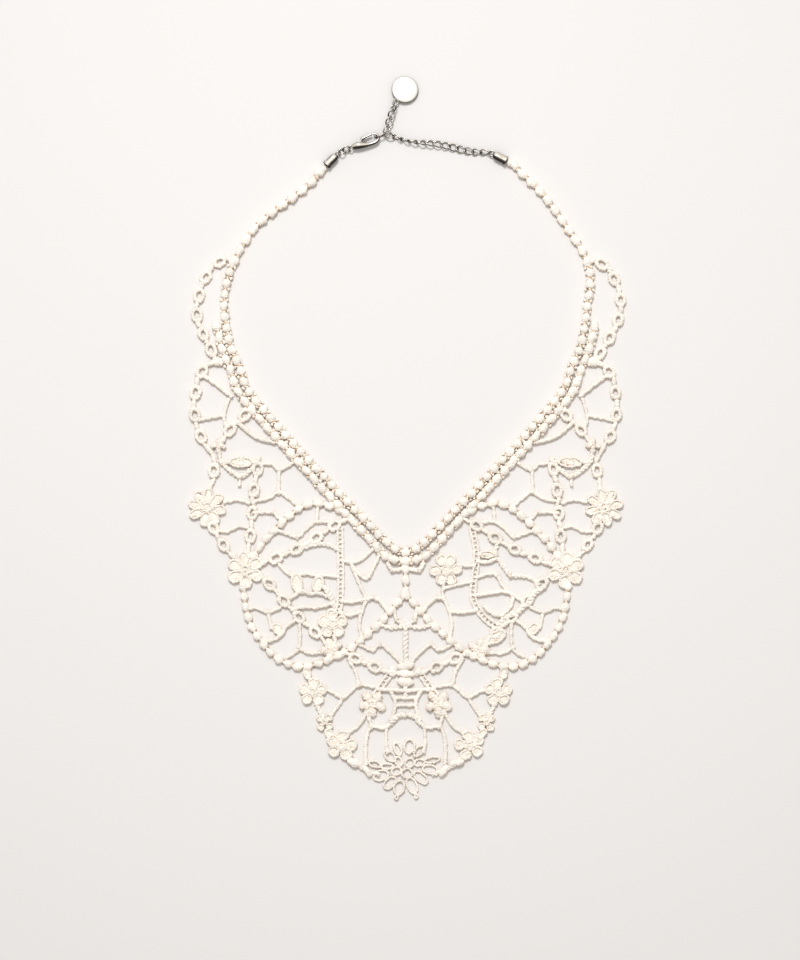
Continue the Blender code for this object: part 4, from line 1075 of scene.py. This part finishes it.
def thread_material():
    """Cream cotton thread with painted shade: its grooves, low sides, side away from the light and
    the sunken parts of its knots are painted a warmer brown, and knots and strands raise it.
    """
    material, tree, shader = new_material("cream_thread", Roughness=0.72, Sheen_Weight=0.25,
                                          Sheen_Roughness=0.4, Specular_IOR_Level=0.3)
    place = new_node(tree, "TexCoord")
    painted_shade, tone, rough = (attribute_node(tree, name) for name in ("painted_shade", "tone", "rough"))
    thread = ramp_node(tree, THREAD_AND_SHADE_STOPS)
    blotch = new_node(tree, "TexNoise", Scale=1000.0, Detail=3.0)
    both = math_node(tree, "ADD")
    half = math_node(tree, "MULTIPLY")
    brightness = new_node(tree, "MapRange", To_Min=0.96, To_Max=1.2)
    vary = new_node(tree, "HueSaturation")
    strands = new_node(tree, "TexNoise", Scale=3800.0, Detail=2.0)
    bump = new_node(tree, "Bump", Strength=0.55, Distance=0.00012)
    knots = new_node(tree, "TexVoronoi", Scale=1250.0)
    sunken = new_node(tree, "MapRange", From_Min=0.3, From_Max=0.75)
    # Painted shade in the sunken parts between the knots, added to the painted shade of the
    # windings; together they pick the colour from the ramp
    share = math_node(tree, "MULTIPLY")
    darker = math_node(tree, "MULTIPLY_ADD", 0.13)
    knot_bump = new_node(tree, "Bump", Strength=0.7, Distance=0.0002)
    knot_bump.invert = True
    link_nodes(
        tree,
        (place, "Object", knots, "Vector"),
        (knots, "Distance", sunken, "Value"),
        (sunken, "Result", share, 0),
        (rough, "Fac", share, 1),
        (share, 0, darker, 0),
        (painted_shade, "Fac", darker, 2),
        (share, 0, knot_bump, "Height"),
        (knot_bump, "Normal", bump, "Normal"),
        (place, "Object", blotch, "Vector"),
        (place, "Object", strands, "Vector"),
        (darker, 0, thread, "Fac"),
        (blotch, "Fac", both, 0),
        (tone, "Fac", both, 1),
        (both, 0, half, 0),
        (half, 0, brightness, "Value"),
        (brightness, "Result", vary, "Value"),
        (thread, "Color", vary, "Color"),
        (vary, "Color", shader, "Base Color"),
        (strands, "Fac", bump, "Height"),
        (bump, "Normal", shader, "Normal"),
    )
    return material


def metal_material(name, metallic, stops, shares, scale, detail, roughness):
    """Silver with painted highlight and painted shade: its colour is picked by how far it faces up
    and up the plan, towards the light, and by noise, in these shares.
    """
    material, tree, shader = new_material(name, Metallic=metallic)
    place = new_node(tree, "TexCoord")
    split = new_node(tree, "SeparateXYZ")
    cloud = new_node(tree, "TexNoise", Scale=scale, Detail=detail)
    # Painted light: facing up and up the plan gives the painted highlight band, facing down and
    # away gives the painted shade
    upward = math_node(tree, "MULTIPLY", shares[0])
    light_facing = math_node(tree, "MULTIPLY_ADD", shares[1])
    offset = math_node(tree, "MULTIPLY_ADD", shares[2])
    colour = ramp_node(tree, stops)
    rough = new_node(tree, "MapRange", To_Min=roughness[0], To_Max=roughness[1])
    link_nodes(
        tree,
        (place, "Object", cloud, "Vector"),
        (place, "Normal", split, 0),
        (split, "Z", upward, 0),
        (split, "Y", light_facing, 0),
        (upward, 0, light_facing, 2),
        (cloud, "Fac", offset, 0),
        (light_facing, 0, offset, 2),
        (offset, 0, colour, "Fac"),
        (colour, "Color", shader, "Base Color"),
        (cloud, "Fac", rough, "Value"),
        (rough, "Result", shader, "Roughness"),
    )
    return material


# Pieces

def dress_lace(material):
    lace = stitch_lace()
    for panel, flat, area in SHEETS:
        kinds = {kind: part for (owner, kind), part in lace.parts.items() if owner == panel}
        for kind in ("web", "petals", "row"):
            if kind in kinds:
                piece = kinds[kind].piece(f"{kind}_{panel}", material)
        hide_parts(panel)


def dress_metal():
    plate, polished = (metal_material(*row) for row in METALS)
    left_end = make_cap("left", plate)
    right_end = make_cap("right", plate)
    make_clasp(left_end, plate)
    make_chain(right_end, plate)
    make_tag(polished)


def make_floor():
    bpy.ops.mesh.primitive_plane_add(size=FLOOR_SIZE, location=(0, 0, -FLOOR_DROP))
    floor = bpy.context.object
    floor.name = "floor"
    material, _, shader = new_material("pale_floor", Roughness=0.9, Specular_IOR_Level=0.1)
    shader.inputs["Base Color"].default_value = FLOOR_COLOUR
    floor.data.materials.append(material)


def make_lights():
    for name, place, size, power, colour, spread in LAMPS:
        data = bpy.data.lights.new(name, "AREA")
        data.shape = "RECTANGLE"
        data.size, data.size_y = size
        data.energy = power
        data.color = colour
        data.spread = math.radians(spread)
        light = bpy.data.objects.new(name, data)
        light.location = place
        ahead = Vector(LAMP_AIM) - Vector(place)
        light.rotation_euler = ahead.to_track_quat("-Z", "Y").to_euler()
        bpy.context.scene.collection.objects.link(light)
    world = bpy.data.worlds.new("studio")
    world.use_nodes = True
    set_sockets(world.node_tree.nodes["Background"],
                {"Color": WORLD_COLOUR, "Strength": WORLD_STRENGTH})
    bpy.context.scene.world = world
    bpy.context.scene.view_settings.view_transform = "Standard"


def make_camera():
    data = bpy.data.cameras.new("camera")
    data.sensor_width = SENSOR
    data.lens = SENSOR * CAMERA_HEIGHT / PHOTO_HIGH
    data.clip_end = CAMERA_REACH
    camera = bpy.data.objects.new("camera", data)
    camera.location = ((PHOTO_MIDDLE[0] - PLAN_MIDDLE[0]) * MM,
                       (PHOTO_MIDDLE[1] - PLAN_MIDDLE[1]) * MM, CAMERA_HEIGHT * MM)
    bpy.context.scene.collection.objects.link(camera)
    bpy.context.scene.camera = camera


make_floor()
dress_lace(thread_material())
dress_metal()
make_lights()
make_camera()
